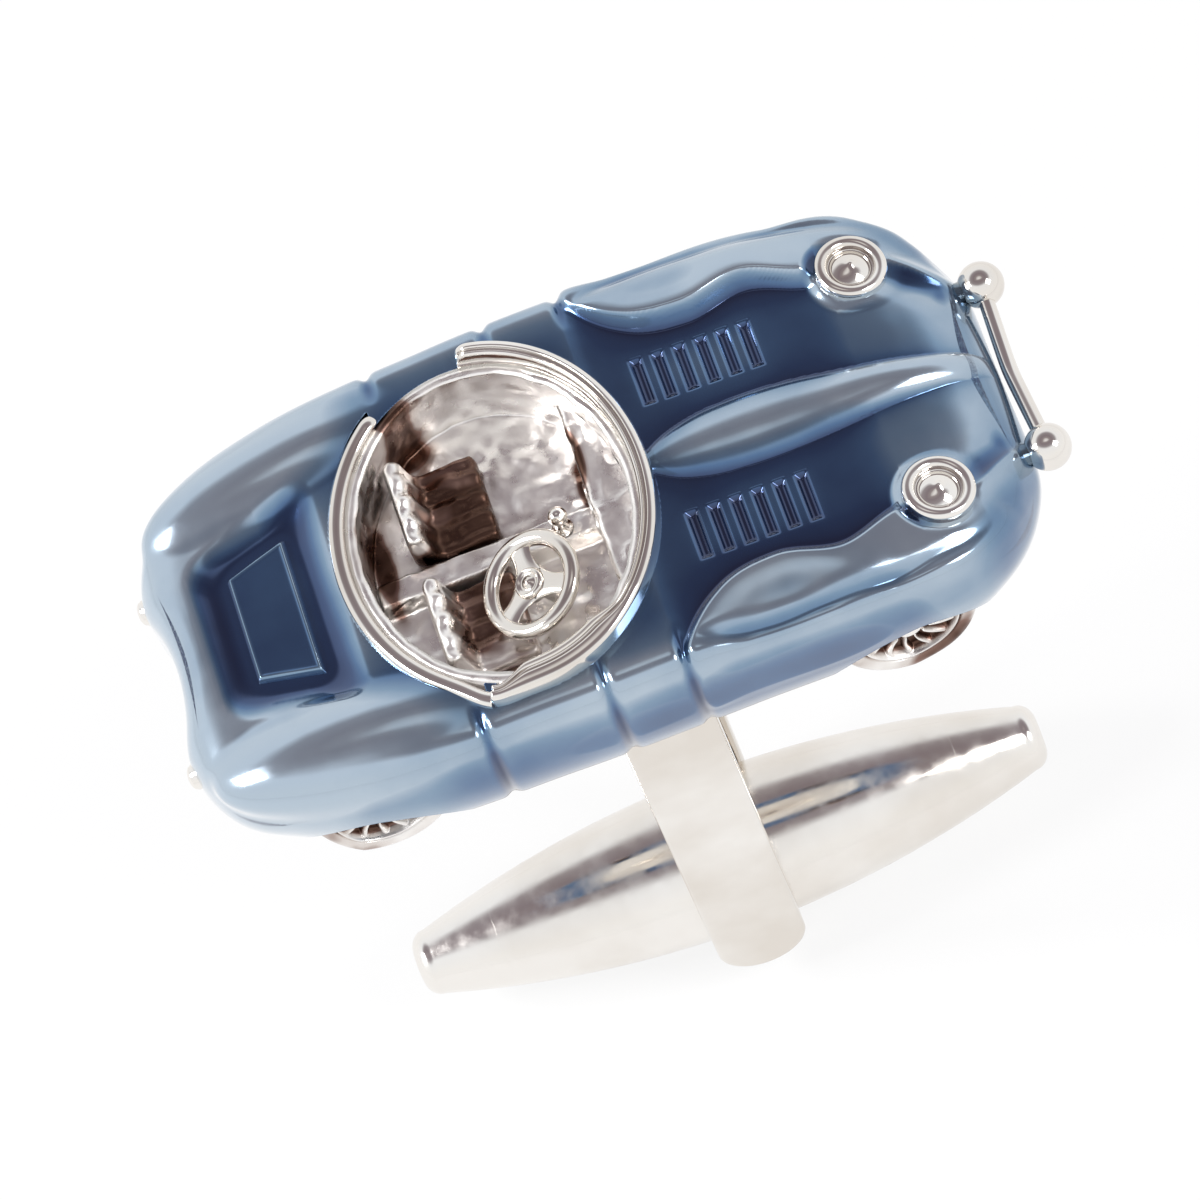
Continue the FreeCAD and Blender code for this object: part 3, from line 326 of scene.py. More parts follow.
class Builder:
    """Collects points and faces of one piece."""

    def __init__(self):
        self.points, self.faces = [], []

    def grid(self, points, wrap=False, caps=False, flip=False):
        rows, columns = points.shape[:2]
        start = len(self.points)
        self.points.extend(points.reshape(-1, 3).tolist())
        faces = grid_faces(rows, columns, wrap, start)
        if caps:
            faces.append(list(range(start, start + columns))[::-1])
            faces.append(list(range(start + (rows - 1) * columns, start + rows * columns)))
        self.faces.extend([face[::-1] for face in faces] if flip else faces)
        return self

    def take(self, points, faces):
        """Takes a mesh over without the points that no face uses. Returns the others' fourth column."""
        used = sorted({number for face in faces for number in face})
        place = {number: k for k, number in enumerate(used)}
        self.points = points[used, :3].tolist()
        self.faces = [[place[number] for number in face] for face in faces]
        return points[used, 3]

    def lathe(self, profile, origin, turn, segments):
        """Spins (radius, height) points about the local Z axis."""
        angles = full_turn(segments)
        radius, height = np.array(profile, float).T
        local = np.stack([radius[:, None] * np.cos(angles), radius[:, None] * np.sin(angles),
                          np.repeat(height[:, None], segments, 1)], -1)
        return self.grid(local @ np.array(turn).T + np.array(origin), wrap=True)

    def tube(self, path, radius, segments=24):
        """A round bar along points."""
        tangent = unit(np.gradient(path, axis=0))
        side = unit(np.cross(tangent, (0.0, 0.1, 1.0)))
        up = np.cross(side, tangent)
        angles = full_turn(segments)[None, :, None]
        ring = np.cos(angles) * side[:, None] + np.sin(angles) * up[:, None]
        return self.grid(path[:, None] + ring * radius, wrap=True, caps=True)

    def prism(self, outline, low, high, bevel, axis):
        """A convex outline pushed along an axis, with rounded edges."""
        outline = np.asarray(outline, float)
        before, after = np.roll(outline, 1, 0), np.roll(outline, -1, 0)
        first, second = outward(outline - before), outward(after - outline)
        corner = (first + second) / (1 + np.sum(first * second, 1))[:, None]
        rows = []
        turns = np.linspace(0, np.pi / 2, 5)
        levels = [(low + bevel - bevel * math.cos(t), bevel - bevel * math.sin(t)) for t in turns]
        levels += [(high - bevel + bevel * math.sin(t), bevel - bevel * math.cos(t)) for t in turns]
        for level, inset in levels:
            rows.append(np.insert(outline - corner * inset, "XYZ".index(axis), level, axis=1))
        return self.grid(np.array(rows), wrap=True, caps=True, flip=axis == "Y")

    def finish(self, node, material, slot="polished_metal", body=ROOT, **attributes):
        obj = make_object(node + "_form", self.points, self.faces, material, **attributes)
        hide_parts(node)
        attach(obj, body)


def clip(points, faces, keep):
    """Cuts away the part of a mesh where keep is negative. Points may carry extra columns.
    Returns points, faces and the edges of the cut."""
    faces = np.asarray(faces)
    inside = keep[faces] > 0
    whole = faces[inside.all(axis=1)].tolist()
    crossing = faces[inside.any(axis=1) & ~inside.all(axis=1)]
    points = list(points)
    made, edges = {}, []
    for face in crossing.tolist():
        loop, cuts = [], []
        for a, b in zip(face, face[1:] + face[:1]):
            if keep[a] > 0:
                loop.append(a)
            if (keep[a] > 0) != (keep[b] > 0):
                key = (min(a, b), max(a, b))
                if key not in made:
                    part = keep[key[0]] / (keep[key[0]] - keep[key[1]])
                    made[key] = len(points)
                    points.append(points[key[0]] + (points[key[1]] - points[key[0]]) * part)
                loop.append(made[key])
                cuts.append((keep[a] > 0, made[key]))
        if len(loop) >= 3:
            whole.append(loop)
        if len(cuts) == 2:
            edges.append(tuple(number for _, number in sorted(cuts, reverse=True)))
    return np.array(points), whole, edges


def wall(points, edges, move, tint):
    """Walls from a cut's edges to where move puts them. Returns points, faces and the far edge."""
    points, faces, numbers = list(points), [], {}
    for a, b in edges:
        for number in (a, b):
            if number not in numbers:
                numbers[number] = len(points)
                points.append(np.append(move(points[number]), tint))
        faces.append([a, b, numbers[b], numbers[a]])
    return np.array(points), faces, list(numbers.values())


def in_turn(points, numbers, axle):
    """Numbers of points round an arch or a wheel, in order of their angle."""
    place = [points[number] for number in numbers]
    middle = np.mean([(p[0] - axle, p[2]) for p in place], axis=0)
    angles = [math.atan2(p[2] - middle[1], p[0] - axle - middle[0]) for p in place]
    return [number for _, number in sorted(zip(angles, numbers))]


# Materials

ENAMEL_STOPS = ((0.0, (0.42, 0.51, 0.60)), (0.25, (0.17, 0.275, 0.40)), (0.47, (0.058, 0.135, 0.275)),
                (0.68, (0.019, 0.055, 0.155)), (1.0, (0.007, 0.021, 0.082)))
CAST_STOPS = ((0.0, (0.10, 0.055, 0.04)), (0.18, (0.27, 0.17, 0.14)), (0.32, (0.72, 0.66, 0.62)),
              (0.56, (0.93, 0.90, 0.87)))
# Brightness of the cast's upper parts above its painted shade, reach of its random blotches, and weight of
# the painted shade patches
CAST_BRIGHT, CAST_BLOTCH, PATCH_SHADE_WEIGHT = 0.74, 0.32, -0.75


def material(name):
    item = bpy.data.materials.new(name)
    item.use_nodes = True
    return item, item.node_tree, item.node_tree.nodes["Principled BSDF"]


def new(tree, kind):
    return tree.nodes.new("ShaderNode" + kind)


def fill(node, **values):
    """Sets inputs of a node, given by their names with low lines for spaces."""
    for key, value in values.items():
        node.inputs[key.replace("_", " ")].default_value = value


def calculate(tree, operation, *values):
    """A math node on numbers and sockets."""
    item = new(tree, "Math")
    item.operation = operation
    for socket, value in zip(item.inputs, values):
        if isinstance(value, float):
            socket.default_value = value
        else:
            tree.links.new(value, socket)
    return item.outputs["Value"]


def attribute(tree, name):
    item = new(tree, "Attribute")
    item.attribute_name = name
    return item.outputs["Fac"]


def split_place(tree, kind):
    """The X, Y and Z of a texture coordinate."""
    place = new(tree, "TexCoord")
    split = new(tree, "SeparateXYZ")
    tree.links.new(place.outputs[kind], split.inputs["Vector"])
    return split.outputs


def noise(tree, scale, detail=4.0):
    place = new(tree, "TexCoord")
    texture = new(tree, "TexNoise")
    fill(texture, Scale=scale, Detail=detail)
    tree.links.new(place.outputs["Object"], texture.inputs["Vector"])
    return texture.outputs["Fac"]


def ramp(tree, source, stops):
    item = new(tree, "ValToRGB")
    while len(item.color_ramp.elements) < len(stops):
        item.color_ramp.elements.new(0.5)
    for element, (place, colour) in zip(item.color_ramp.elements, stops):
        element.position = place
        element.color = (*colour, 1)
    tree.links.new(source, item.inputs["Fac"])
    return item.outputs["Color"]


def spread(tree, source, low, high, new_low, new_high):
    item = new(tree, "MapRange")
    fill(item, From_Min=low, From_Max=high, To_Min=new_low, To_Max=new_high)
    tree.links.new(source, item.inputs["Value"])
    return item.outputs["Result"]


def clouds(tree, scale, low, high, reach=0.15, detail=4.0):
    """Noise spread from low to high. The noise's values within reach of its middle are used."""
    return spread(tree, noise(tree, scale, detail), 0.5 - reach, 0.5 + reach, low, high)


def set_surface(tree, shader, colour, metallic, rough):
    tree.links.new(colour, shader.inputs["Base Color"])
    fill(shader, Metallic=metallic)
    tree.links.new(rough, shader.inputs["Roughness"])


def bump(tree, shader, source, strength, distance):
    item = new(tree, "Bump")
    fill(item, Strength=strength, Distance=distance)
    tree.links.new(source, item.inputs["Height"])
    tree.links.new(item.outputs["Normal"], shader.inputs["Normal"])


def enamel_material():
    """Clear blue enamel over metal, deeper in colour in the hollows where it pools, and with painted shade
    and painted light from the body's depth attribute.
    """
    item, tree, shader = material("blue_enamel")
    depth = calculate(tree, "ADD", attribute(tree, "hollow"), clouds(tree, 260.0, -0.09, 0.09, reach=0.2))
    set_surface(tree, shader, ramp(tree, depth, ENAMEL_STOPS), 0.85, clouds(tree, 900.0, 0.10, 0.17))
    fill(shader, Coat_Weight=1.0, Coat_Roughness=0.09)
    bump(tree, shader, noise(tree, 330.0, 2.0), 0.25, 0.2 * MM)
    return item


def metal_material(name, bright, dark, rough):
    item, tree, shader = material(name)
    colour = ramp(tree, noise(tree, 180.0), ((0.36, dark), (0.6, bright)))
    set_surface(tree, shader, colour, 1.0, clouds(tree, 1500.0, rough * 0.6, rough * 1.5))
    bump(tree, shader, noise(tree, 900.0), 0.05, 0.05 * MM)
    return item


def cast_material(name, low, high, least):
    """Rough cast plate with painted shade: bright on its upper parts, brown lower down and in the painted
    shade patches.
    """
    item, tree, shader = material(name)
    level = spread(tree, split_place(tree, "Object")["Z"], low * MM, high * MM, least, CAST_BRIGHT)
    blotch = clouds(tree, 380.0, -CAST_BLOTCH, CAST_BLOTCH, detail=3.0)
    plain = calculate(tree, "ADD", level, blotch)
    stained = calculate(tree, "MULTIPLY_ADD", attribute(tree, "stain"), PATCH_SHADE_WEIGHT, plain)
    set_surface(tree, shader, ramp(tree, stained, CAST_STOPS), 1.0, clouds(tree, 1500.0, 0.24, 0.42))
    bump(tree, shader, noise(tree, 1300.0), 0.4, 0.1 * MM)
    return item


enamel = enamel_material()
chrome = metal_material("polished_metal", (0.87, 0.84, 0.80), (0.74, 0.69, 0.63), 0.07)
bar_metal = metal_material("toggle_metal", (0.88, 0.85, 0.81), (0.76, 0.71, 0.65), 0.17)
# Cast metal darkened lower down by painted shade; the seats' copy is shaded darker still at their foot
cast = cast_material("cast_metal", 1.4, 2.7, 0.6)
seat_cast = cast_material("seat_metal", 1.95, 2.9, 0.06)
spring = metal_material("spring_steel", (0.60, 0.60, 0.61), (0.48, 0.48, 0.50), 0.25)


# Body

# Rays that find the body's surface: the section they fan out over, their counts and their reach
RAY_SECTION = np.array([(5.9, 0.0), (6.2, 1.6), (6.15, 3.0), (5.6, 3.6), (2.5, 3.7), (0.0, 3.8)])
SECTION_RAYS, FAN_RAYS, LONG_RAYS, RAY_END = 231, 110, 400, 8.2
RAY_DEPTH, RAY_LEVELS, RAY_FADE = 10.0, (1.5, 3.6), 10
COARSE_ROWS, COARSE_COLUMNS, SCAN_FROM, SCAN_TO, SCAN_STEP = 110, 90, 0.3, 16.0, 0.1
SEARCH_BACK, SEARCH_ON, HALVINGS = 1.8, 1.4, 17
# Depth of the enamel's blue, where the enamel pools and as painted shade and painted light: reach and gain of
# each blur, spans of the shaded and lit places, and their weights
HOLLOW_BLURS, HOLLOW_GAIN, SUNK_LIMIT, BULGE_LIMIT = ((4, 2.5), (12, 2.4), (34, 2.0)), 0.55, 0.36, 0.4
FLANK_LEVELS, TAIL_SPAN, BULGE_SIDES = (3.2, 1.6), (-4.5, -6.5), (1.3, 1.0)
CORNER_SPAN, CORNER_SIDES = (9.0, 10.2), (-0.1, -0.7)
SUNK_SHADE, SUNK_TAIL, BASE_SHADE, FLANK_PAINTED_SHADE = 1.1, 0.7, 0.03, 0.15
CORNER_PAINTED_SHADE, TAIL_PAINTED_LIGHT, BULGE_PAINTED_LIGHT, UNDER_SHADE, WALL_PAINTED_SHADE = 0.22, 0.22, 0.35, 0.5, 0.8


def body_rays():
    """Starts and directions of the rays, which fan out over a typical section from deep under the deck."""
    lengths = np.linalg.norm(np.diff(RAY_SECTION, axis=0), axis=1)
    length = np.concatenate([[0], np.cumsum(lengths)])
    along = np.linspace(0, length[-1], SECTION_RAYS)
    y, z = (np.interp(along, length, RAY_SECTION[:, k]) for k in (0, 1))
    y, z = np.concatenate([y, -y[-2::-1]]), np.concatenate([z, z[-2::-1]])
    fan = np.linspace(np.pi / 2, 0, FAN_RAYS, endpoint=False)
    straight = np.linspace(-RAY_END, RAY_END, LONG_RAYS)
    place = np.concatenate([np.full(FAN_RAYS, -RAY_END), straight, np.full(FAN_RAYS, RAY_END)])[:, None]
    lean = np.concatenate([-fan, np.zeros(LONG_RAYS), fan[::-1]])[:, None]
    depth = -RAY_DEPTH * smooth_step(*RAY_LEVELS, z) * np.cos(lean) ** RAY_FADE
    reach = np.hypot(y, z - depth)
    upright = np.cos(lean)
    direction = np.stack([np.sin(lean) + 0 * y, upright * y / reach, upright * (z - depth) / reach], -1)
    origin = np.stack([place + 0 * y, np.zeros_like(depth), depth], -1)
    return origin, direction


def cast_rays(origin, direction):
    """Distance along each ray to the body's surface."""
    rows, columns = direction.shape[:2]
    coarse_rows = np.unique(np.linspace(0, rows - 1, COARSE_ROWS).astype(int))
    coarse_columns = np.unique(np.linspace(0, columns - 1, COARSE_COLUMNS).astype(int))
    coarse = np.ix_(coarse_rows, coarse_columns)
    some_origin, some_direction = origin[coarse], direction[coarse]
    found = np.zeros(some_direction.shape[:2])
    still = np.ones(found.shape, bool)
    for distance in np.arange(SCAN_FROM, SCAN_TO, SCAN_STEP):
        x, y, z = np.moveaxis(some_origin + some_direction * distance, -1, 0)
        still &= body_form(x, y, z) < 0
        found = np.where(still, distance, found)
    wide = np.array([np.interp(np.arange(columns), coarse_columns, row) for row in found])
    guess = np.array([np.interp(np.arange(rows), coarse_rows, wide[:, k]) for k in range(columns)]).T
    low, high = np.maximum(guess - SEARCH_BACK, 0.05), guess + SEARCH_ON
    for _ in range(HALVINGS):
        middle = (low + high) / 2
        x, y, z = np.moveaxis(origin + direction * middle[..., None], -1, 0)
        within = body_form(x, y, z) + grooves(x, y, z) < 0
        low, high = np.where(within, middle, low), np.where(within, high, middle)
    return (low + high) / 2


def blur(grid, reach):
    for axis in (0, 1):
        pads = [(reach + 1, reach) if k == axis else (0, 0) for k in range(3)]
        total = np.cumsum(np.pad(grid, pads, mode="edge"), axis=axis)
        count = grid.shape[axis]
        window = 2 * reach + 1
        high = np.take(total, np.arange(window, window + count), axis=axis)
        low = np.take(total, np.arange(0, count), axis=axis)
        grid = (high - low) / window
    return grid


def hollowness(grid):
    """From 0 on ridges to 1 in hollows, with 0.5 on even surfaces."""
    normal = unit(np.cross(np.gradient(grid, axis=0), np.gradient(grid, axis=1)))
    if normal[normal.shape[0] // 2, normal.shape[1] // 2, 2] < 0:
        normal = -normal
    value = 0.0
    for reach, gain in HOLLOW_BLURS:
        value = value + gain * np.sum((blur(blur(grid, reach), reach) - grid) * normal, axis=-1)
    return np.clip(0.5 + value * HOLLOW_GAIN, 0, 1)


def body_shade(grid):
    """How deep the enamel's blue is on the body's surface, from 0 to 1: deeper where the enamel pools in
    hollows and grooves, which also carry painted shade, with painted shade on the lower sides and front
    corners and painted light on the tail and the bulge.
    """
    x, y, z = np.moveaxis(grid, -1, 0)
    tail = smooth_step(*TAIL_SPAN, x)
    sunk = np.clip(grooves(x, y, z), 0, SUNK_LIMIT) * (SUNK_SHADE - SUNK_TAIL * tail)
    bulge = np.clip(bonnet_relief(x, y), 0, BULGE_LIMIT) * smooth_step(*BULGE_SIDES, np.abs(y))
    corner = smooth_step(*CORNER_SPAN, x) * smooth_step(*CORNER_SIDES, beside_ridge(x, y)[1])
    # Painted shade on the lower sides and the front corners, painted light on the tail and the top of the
    # bulge
    shade = BASE_SHADE + FLANK_PAINTED_SHADE * smooth_step(*FLANK_LEVELS, z) + CORNER_PAINTED_SHADE * corner
    shade = shade - TAIL_PAINTED_LIGHT * tail - BULGE_PAINTED_LIGHT * bulge
    return np.clip(hollowness(grid) + sunk + shade, 0, 1)


def underside(edge, steps=10):
    """Runs from the sill to the nearest point of the back plate's outline."""
    shares = np.linspace(1, 0, steps, endpoint=False)[:, None]
    core = np.array([PLATE_HALF_X - PLATE_CORNER, PLATE_HALF_Y - PLATE_CORNER])
    near = np.clip(edge[:, :2], -core, core)
    away = edge[:, :2] - near
    away *= (PLATE_CORNER + PLATE_GAP) / np.linalg.norm(away, axis=1)[:, None]
    inner = np.concatenate([near + away, np.zeros((len(edge), 1))], axis=1)
    return edge[:, None] * (1 - shares) + inner[:, None] * shares


def oval(x, y, a, b):
    """Below zero inside the cockpit's oval."""
    return (np.sqrt(((x - COCKPIT_X) / a) ** 2 + (y / b) ** 2) - 1) * min(a, b)


def outside_cockpit(p):
    """Below zero over the cockpit's well and over the seats of its two rims."""
    x, y = p[:, 0], p[:, 1]
    left = y > 0
    spans = np.minimum(np.where(left, SCREEN_LEFT, SCREEN_RIGHT) - x,
                       x - np.where(left, REAR_RIM_LEFT, REAR_RIM_RIGHT))
    rims = np.maximum(oval(x, y, COCKPIT_A, COCKPIT_B), spans)
    return np.where(p[:, 2] > 0.5, np.minimum(oval(x, y, WELL_A, WELL_B), rims), 1.0)


def build_body():
    origin, direction = body_rays()
    skin = origin + direction * cast_rays(origin, direction)[..., None]
    skin[..., 1] = np.clip(skin[..., 1], -DOOR_HALF, DOOR_HALF)
    left, right = underside(skin[:, 0]), underside(skin[:, -1])[:, ::-1]
    under_shade = np.full(left.shape[:2], UNDER_SHADE)
    points = np.concatenate([left, skin, right], axis=1)
    shade = np.concatenate([under_shade, body_shade(skin), under_shade], axis=1)
    data = np.concatenate([points.reshape(-1, 3), shade.reshape(-1, 1)], axis=1)
    data, faces, rim = clip(data, grid_faces(*shade.shape), outside_cockpit(data))
    quads = [face for face in faces if len(face) == 4]
    others = [face for face in faces if len(face) != 4]
    # The walls down to the rims' ledge and inside the wheel arches get painted shade
    data, walls, _ = wall(data, rim, lambda p: (p[0], p[1], RIM_LEDGE), WALL_PAINTED_SHADE)
    for axle in (FRONT_AXLE, REAR_AXLE):
        for side in (1, -1):
            circle = np.hypot(data[:, 0] - axle, data[:, 2] - ARCH_Z - ARCH_GAP) - ARCH_RADIUS
            keep = np.maximum(circle, WHEEL_INNER_Y - side * data[:, 1])
            data, faces, edge = clip(data, quads, keep)
            quads = [face for face in faces if len(face) == 4]
            others += [face for face in faces if len(face) != 4]
            back = side * (WHEEL_INNER_Y - WHEEL_CLEARANCE)
            data, arch, ring = wall(data, edge, lambda p: (p[0], back, p[2]), WALL_PAINTED_SHADE)
            walls += arch + [in_turn(data, ring, axle)[::side]]
    piece = Builder()
    shade = piece.take(data, [face[::-1] for face in quads + others + walls])
    piece.finish("body_shell", enamel, "blue_enamel", hollow=shade)


def build_boot_panel():
    across, along = 90, 70
    rear, front = PANEL["rear"], PANEL["front"]
    x = np.repeat(np.linspace(rear, front, along)[:, None], across, 1)
    half = np.interp(x, [rear, front], [PANEL["rear_width"] / 2, PANEL["front_width"] / 2])
    y = half * np.linspace(-1, 1, across)
    edge = np.minimum(half - np.abs(y), np.minimum(x - rear, front - x))
    drop = 1 - smooth_step(0.0, PANEL_LIP, edge)
    crest = bell(edge, 0.16, 0.07)
    top = deck_height(x, y) - PANEL_SINK + PANEL_CREST * crest - PANEL_DROP * drop
    # Painted highlight along the panel's crest and painted shade where its edge drops
    shade = np.clip(0.55 - 0.4 * crest + 0.2 * drop, 0, 1)
    piece = Builder().grid(np.stack([x, y, top], -1), flip=True)
    piece.finish("boot_panel", enamel, "blue_enamel", hollow=shade.ravel())


# Cockpit

def build_rim(node, first, last, stand, double):
    count = 260
    angle = np.linspace(first, last, count)
    x = COCKPIT_X + COCKPIT_A * np.cos(angle)
    y = COCKPIT_B * np.sin(angle)
    right = y < 0
    normal = unit(np.stack([np.cos(angle) / COCKPIT_A, np.sin(angle) / COCKPIT_B], -1))
    share = np.linspace(0, 1, 33)
    crest = np.sqrt(np.clip(1 - (2 * share - 1) ** 2, 0, 1)) * RIM_CREST - RIM_CREST
    if double:
        crest = crest - RIM_GROOVE * bell(share, 0.62, 0.1)
    inset = np.concatenate([[0.0], share, [1.0]]) * RIM_WIDTH
    path = np.cumsum(np.hypot(np.gradient(x), np.gradient(y)))
    # The rims are rounded at their left ends only: on the right they meet
    ends = np.where(y > 0, np.minimum(path - path[0], path[-1] - path), 1.0)
    rounding = np.sqrt(np.clip(1 - (1 - np.clip(ends / RIM_END, 0, 1)) ** 2, 0, 1))
    top = deck_height(x, y) - RIM_BURIED + (stand + RIM_BURIED) * (0.25 + 0.75 * rounding)
    foot = np.full((count, 1), RIM_LEDGE)
    height = np.concatenate([foot, top[:, None] + crest[None], foot], 1)
    # On the right the two rims meet in a point, and the windscreen's sill is wider there
    point = 0.28 * bell(x, -3.65, 0.7) * right
    wide = 1 + 0.7 * smooth_step(0.6, -0.4, x) * smooth_step(-3.5, -2.6, x) * right
    across = inset[None] * wide[:, None]
    across[:, 1:-1] -= point[:, None]
    points = np.stack([x[:, None] - normal[:, :1] * across, y[:, None] - normal[:, 1:] * across, height], -1)
    piece = Builder().grid(points, caps=True, flip=True)
    piece.finish(node, chrome)


def stains(points):
    """How far patches of painted shade turn the cockpit's cast plate brown at the given points, from 0 to 1.
    """
    points = np.array(points)
    total = sum(bell(points[:, 0], x, half_x) * bell(points[:, 1], y, half_y)
                for x, y, half_x, half_y in SHADE_PATCHES)
    return np.clip(1.6 * total - 0.25, 0, 1)


def build_tub():
    angle = full_turn(300)
    around, abreast = np.cos(angle), np.sin(angle)
    rows = []
    for share in np.linspace(0.01, 1, 60):
        x, y = COCKPIT_X + TUB_A * share * around, TUB_B * share * abreast
        tunnel = TUNNEL_HEIGHT * smooth_step(TUNNEL_HALF + 0.05, TUNNEL_HALF - 0.12, np.abs(y))
        rough = CAST_ROUGH * grain(np.stack([x, y, np.full_like(x, FLOOR_TOP)], -1), 0.35)
        rows.append(np.stack([x, y, FLOOR_TOP + tunnel * smooth_step(1.01, 0.97, share) - 0.02 + rough], -1))
    wide_x, wide_y = COCKPIT_X + WELL_A * around, WELL_B * abreast
    top = deck_height(wide_x, wide_y) + 0.02
    foot = FLOOR_TOP + 0.06
    for share in np.linspace(0, 1, 26):
        ring = np.stack([COCKPIT_X + TUB_A * around, TUB_B * abreast, foot + (top - foot) * share], -1)
        ring[:, :2] += CAST_ROUGH * grain(ring, 0.4)[:, None] * np.stack([around, abreast], -1)
        rows.append(ring)
    for height in (top, np.full_like(angle, TUB_BASE)):
        rows.append(np.stack([wide_x, wide_y, height], -1))
    piece = Builder().grid(np.array(rows), wrap=True, caps=True)
    piece.finish("cockpit_tub", cast, stain=stains(piece.points))


def round_off(outline, times=3):
    """Cuts the corners of a closed outline again and again."""
    outline = np.asarray(outline, float)
    for _ in range(times):
        after = np.roll(outline, -1, 0)
        outline = np.stack([0.75 * outline + 0.25 * after, 0.25 * outline + 0.75 * after], 1).reshape(-1, 2)
    return outline


def build_seat(node, side):
    outline = round_off(SEAT_OUTLINE)
    # Each end of the seat closes on a line through the middle of its back and its cushion
    on_back = np.clip(outline, (BACK_MIDDLE, CUSHION_MIDDLE), (BACK_MIDDLE, BACK_TOP))
    on_cushion = np.clip(outline, (BACK_MIDDLE, CUSHION_MIDDLE), (CUSHION_FRONT, CUSHION_MIDDLE))
    nearer = np.linalg.norm(outline - on_back, axis=1) < np.linalg.norm(outline - on_cushion, axis=1)
    spine = np.where(nearer[:, None], on_back, on_cushion)
    normal = outward(np.roll(outline, -1, 0) - np.roll(outline, 1, 0))
    upper = smooth_step(0.2, 0.5, outline[:, 1]) * smooth_step(0.1, 0.3, outline[:, 0])
    rows = []
    for share in np.linspace(-1, 1, 61):
        from_end = max(0.0, (abs(share) - 0.8) / 0.2)
        inset = SEAT_ROUND * (1 - math.sqrt(max(0.0, 1 - from_end ** 2)))
        ribs = SEAT_RIB * math.cos(share * math.pi * 4) * (1 - 0.5 * abs(share))
        cut = outline - normal * inset + normal * (ribs * upper)[:, None]
        cut = np.maximum(cut, (-0.02, 0.0))
        points = np.insert(cut + (SEAT_X, FLOOR_TOP), 1, side * SEAT_Y + share * SEAT_HALF, axis=1)
        points[:, 2] += 0.03 * grain(points, 0.25) * upper
        rows.append(points)
    closing = spine + (SEAT_X, FLOOR_TOP)
    ends = [np.insert(closing, 1, row[0, 1], axis=1) for row in (rows[0], rows[-1])]
    piece = Builder().grid(np.array([ends[0]] + rows + [ends[1]]), wrap=True)
    piece.finish(node, seat_cast)


def build_dashboard():
    y = np.linspace(-DASH_HALF, DASH_HALF, 150)
    reach = COCKPIT_X + TUB_A * np.sqrt(np.clip(1 - (y / TUB_B) ** 2, 0, 1))
    edge_x, edge_z = DASH_FRONT + DASH_ROUND, DASH_HIGH - DASH_ROUND
    places = [(reach, DASH_LOW)]
    places += [(DASH_FRONT, height) for height in np.linspace(DASH_LOW, edge_z, 14)]
    places += arc((edge_x, edge_z), (-DASH_ROUND, DASH_ROUND), 0, math.pi / 2, 10)[1:]
    places += [(edge_x + (reach - edge_x) * share, DASH_HIGH) for share in np.linspace(0, 1, 24)[1:]]
    points = np.array([np.stack([x + 0 * y, y, z + 0 * y], -1) for x, z in places])
    points[1:, :, 0] += np.clip(CAST_ROUGH * grain(points[1:], 0.45), -0.02, None)
    points[10:, :, 2] -= 0.08 * np.abs(grain(points[10:], 0.5))
    points[..., 0] = np.minimum(points[..., 0], reach)
    piece = Builder().grid(points, flip=True)
    dial = [(0.0, 0.0), (0.16, 0.0), (0.17, 0.05), (0.21, 0.07), (0.25, 0.05), (0.26, -0.02)]
    for place in DIAL_Y:
        piece.lathe(dial, (DASH_FRONT, place, DIAL_Z), rotation(-90, "Y"), 24)
    piece.finish("dashboard", cast, stain=stains(piece.points))


def build_steering_wheel():
    centre = np.array(STEERING_PLACE)
    turn = rotation(STEERING_TILT, "Y")
    ring = arc((STEERING_RADIUS, 0), (STEERING_GRIP, 0.2), 0, 2 * math.pi, 25)
    hub = [(0.17, -1.55), (0.17, -0.3), (0.45, -0.2), (0.47, -0.02), (0.42, 0.14), (0.33, 0.22), (0.3, 0.14),
           (0.17, 0.14), (0.12, 0.22), (0.0, 0.24)]
    piece = Builder().lathe(ring, centre, turn, 96)
    piece.lathe(hub, centre, turn, 48)
    for k in range(3):
        spin = np.array(turn @ rotation(90 + 120 * k, "Z"))
        rows = []
        for along in np.linspace(0.25, STEERING_RADIUS, 14):
            half = 0.3 + 0.16 * ((along - 0.8) / 0.55) ** 2
            spoke = np.array(arc((0, 0), (half, 0.08), 0, 2 * math.pi, 17)[:-1])
            rows.append(np.insert(spoke, 0, along, axis=1) @ spin.T + centre)
        piece.grid(np.array(rows), wrap=True)
    piece.finish("steering_wheel", chrome)


def build_gear_lever():
    profile = [(0.3, 0.0), (0.26, 0.05), (0.17, 0.1), (0.13, 0.3), (0.12, 0.38)]
    profile += ball(LEVER_HEIGHT, LEVER_KNOB, 18)
    piece = Builder().lathe(profile, (LEVER_X, 0, FLOOR_TOP + TUNNEL_HEIGHT), Matrix.Identity(3), 40)
    piece.finish("gear_lever", chrome)


# Lamps, bumper and wheels

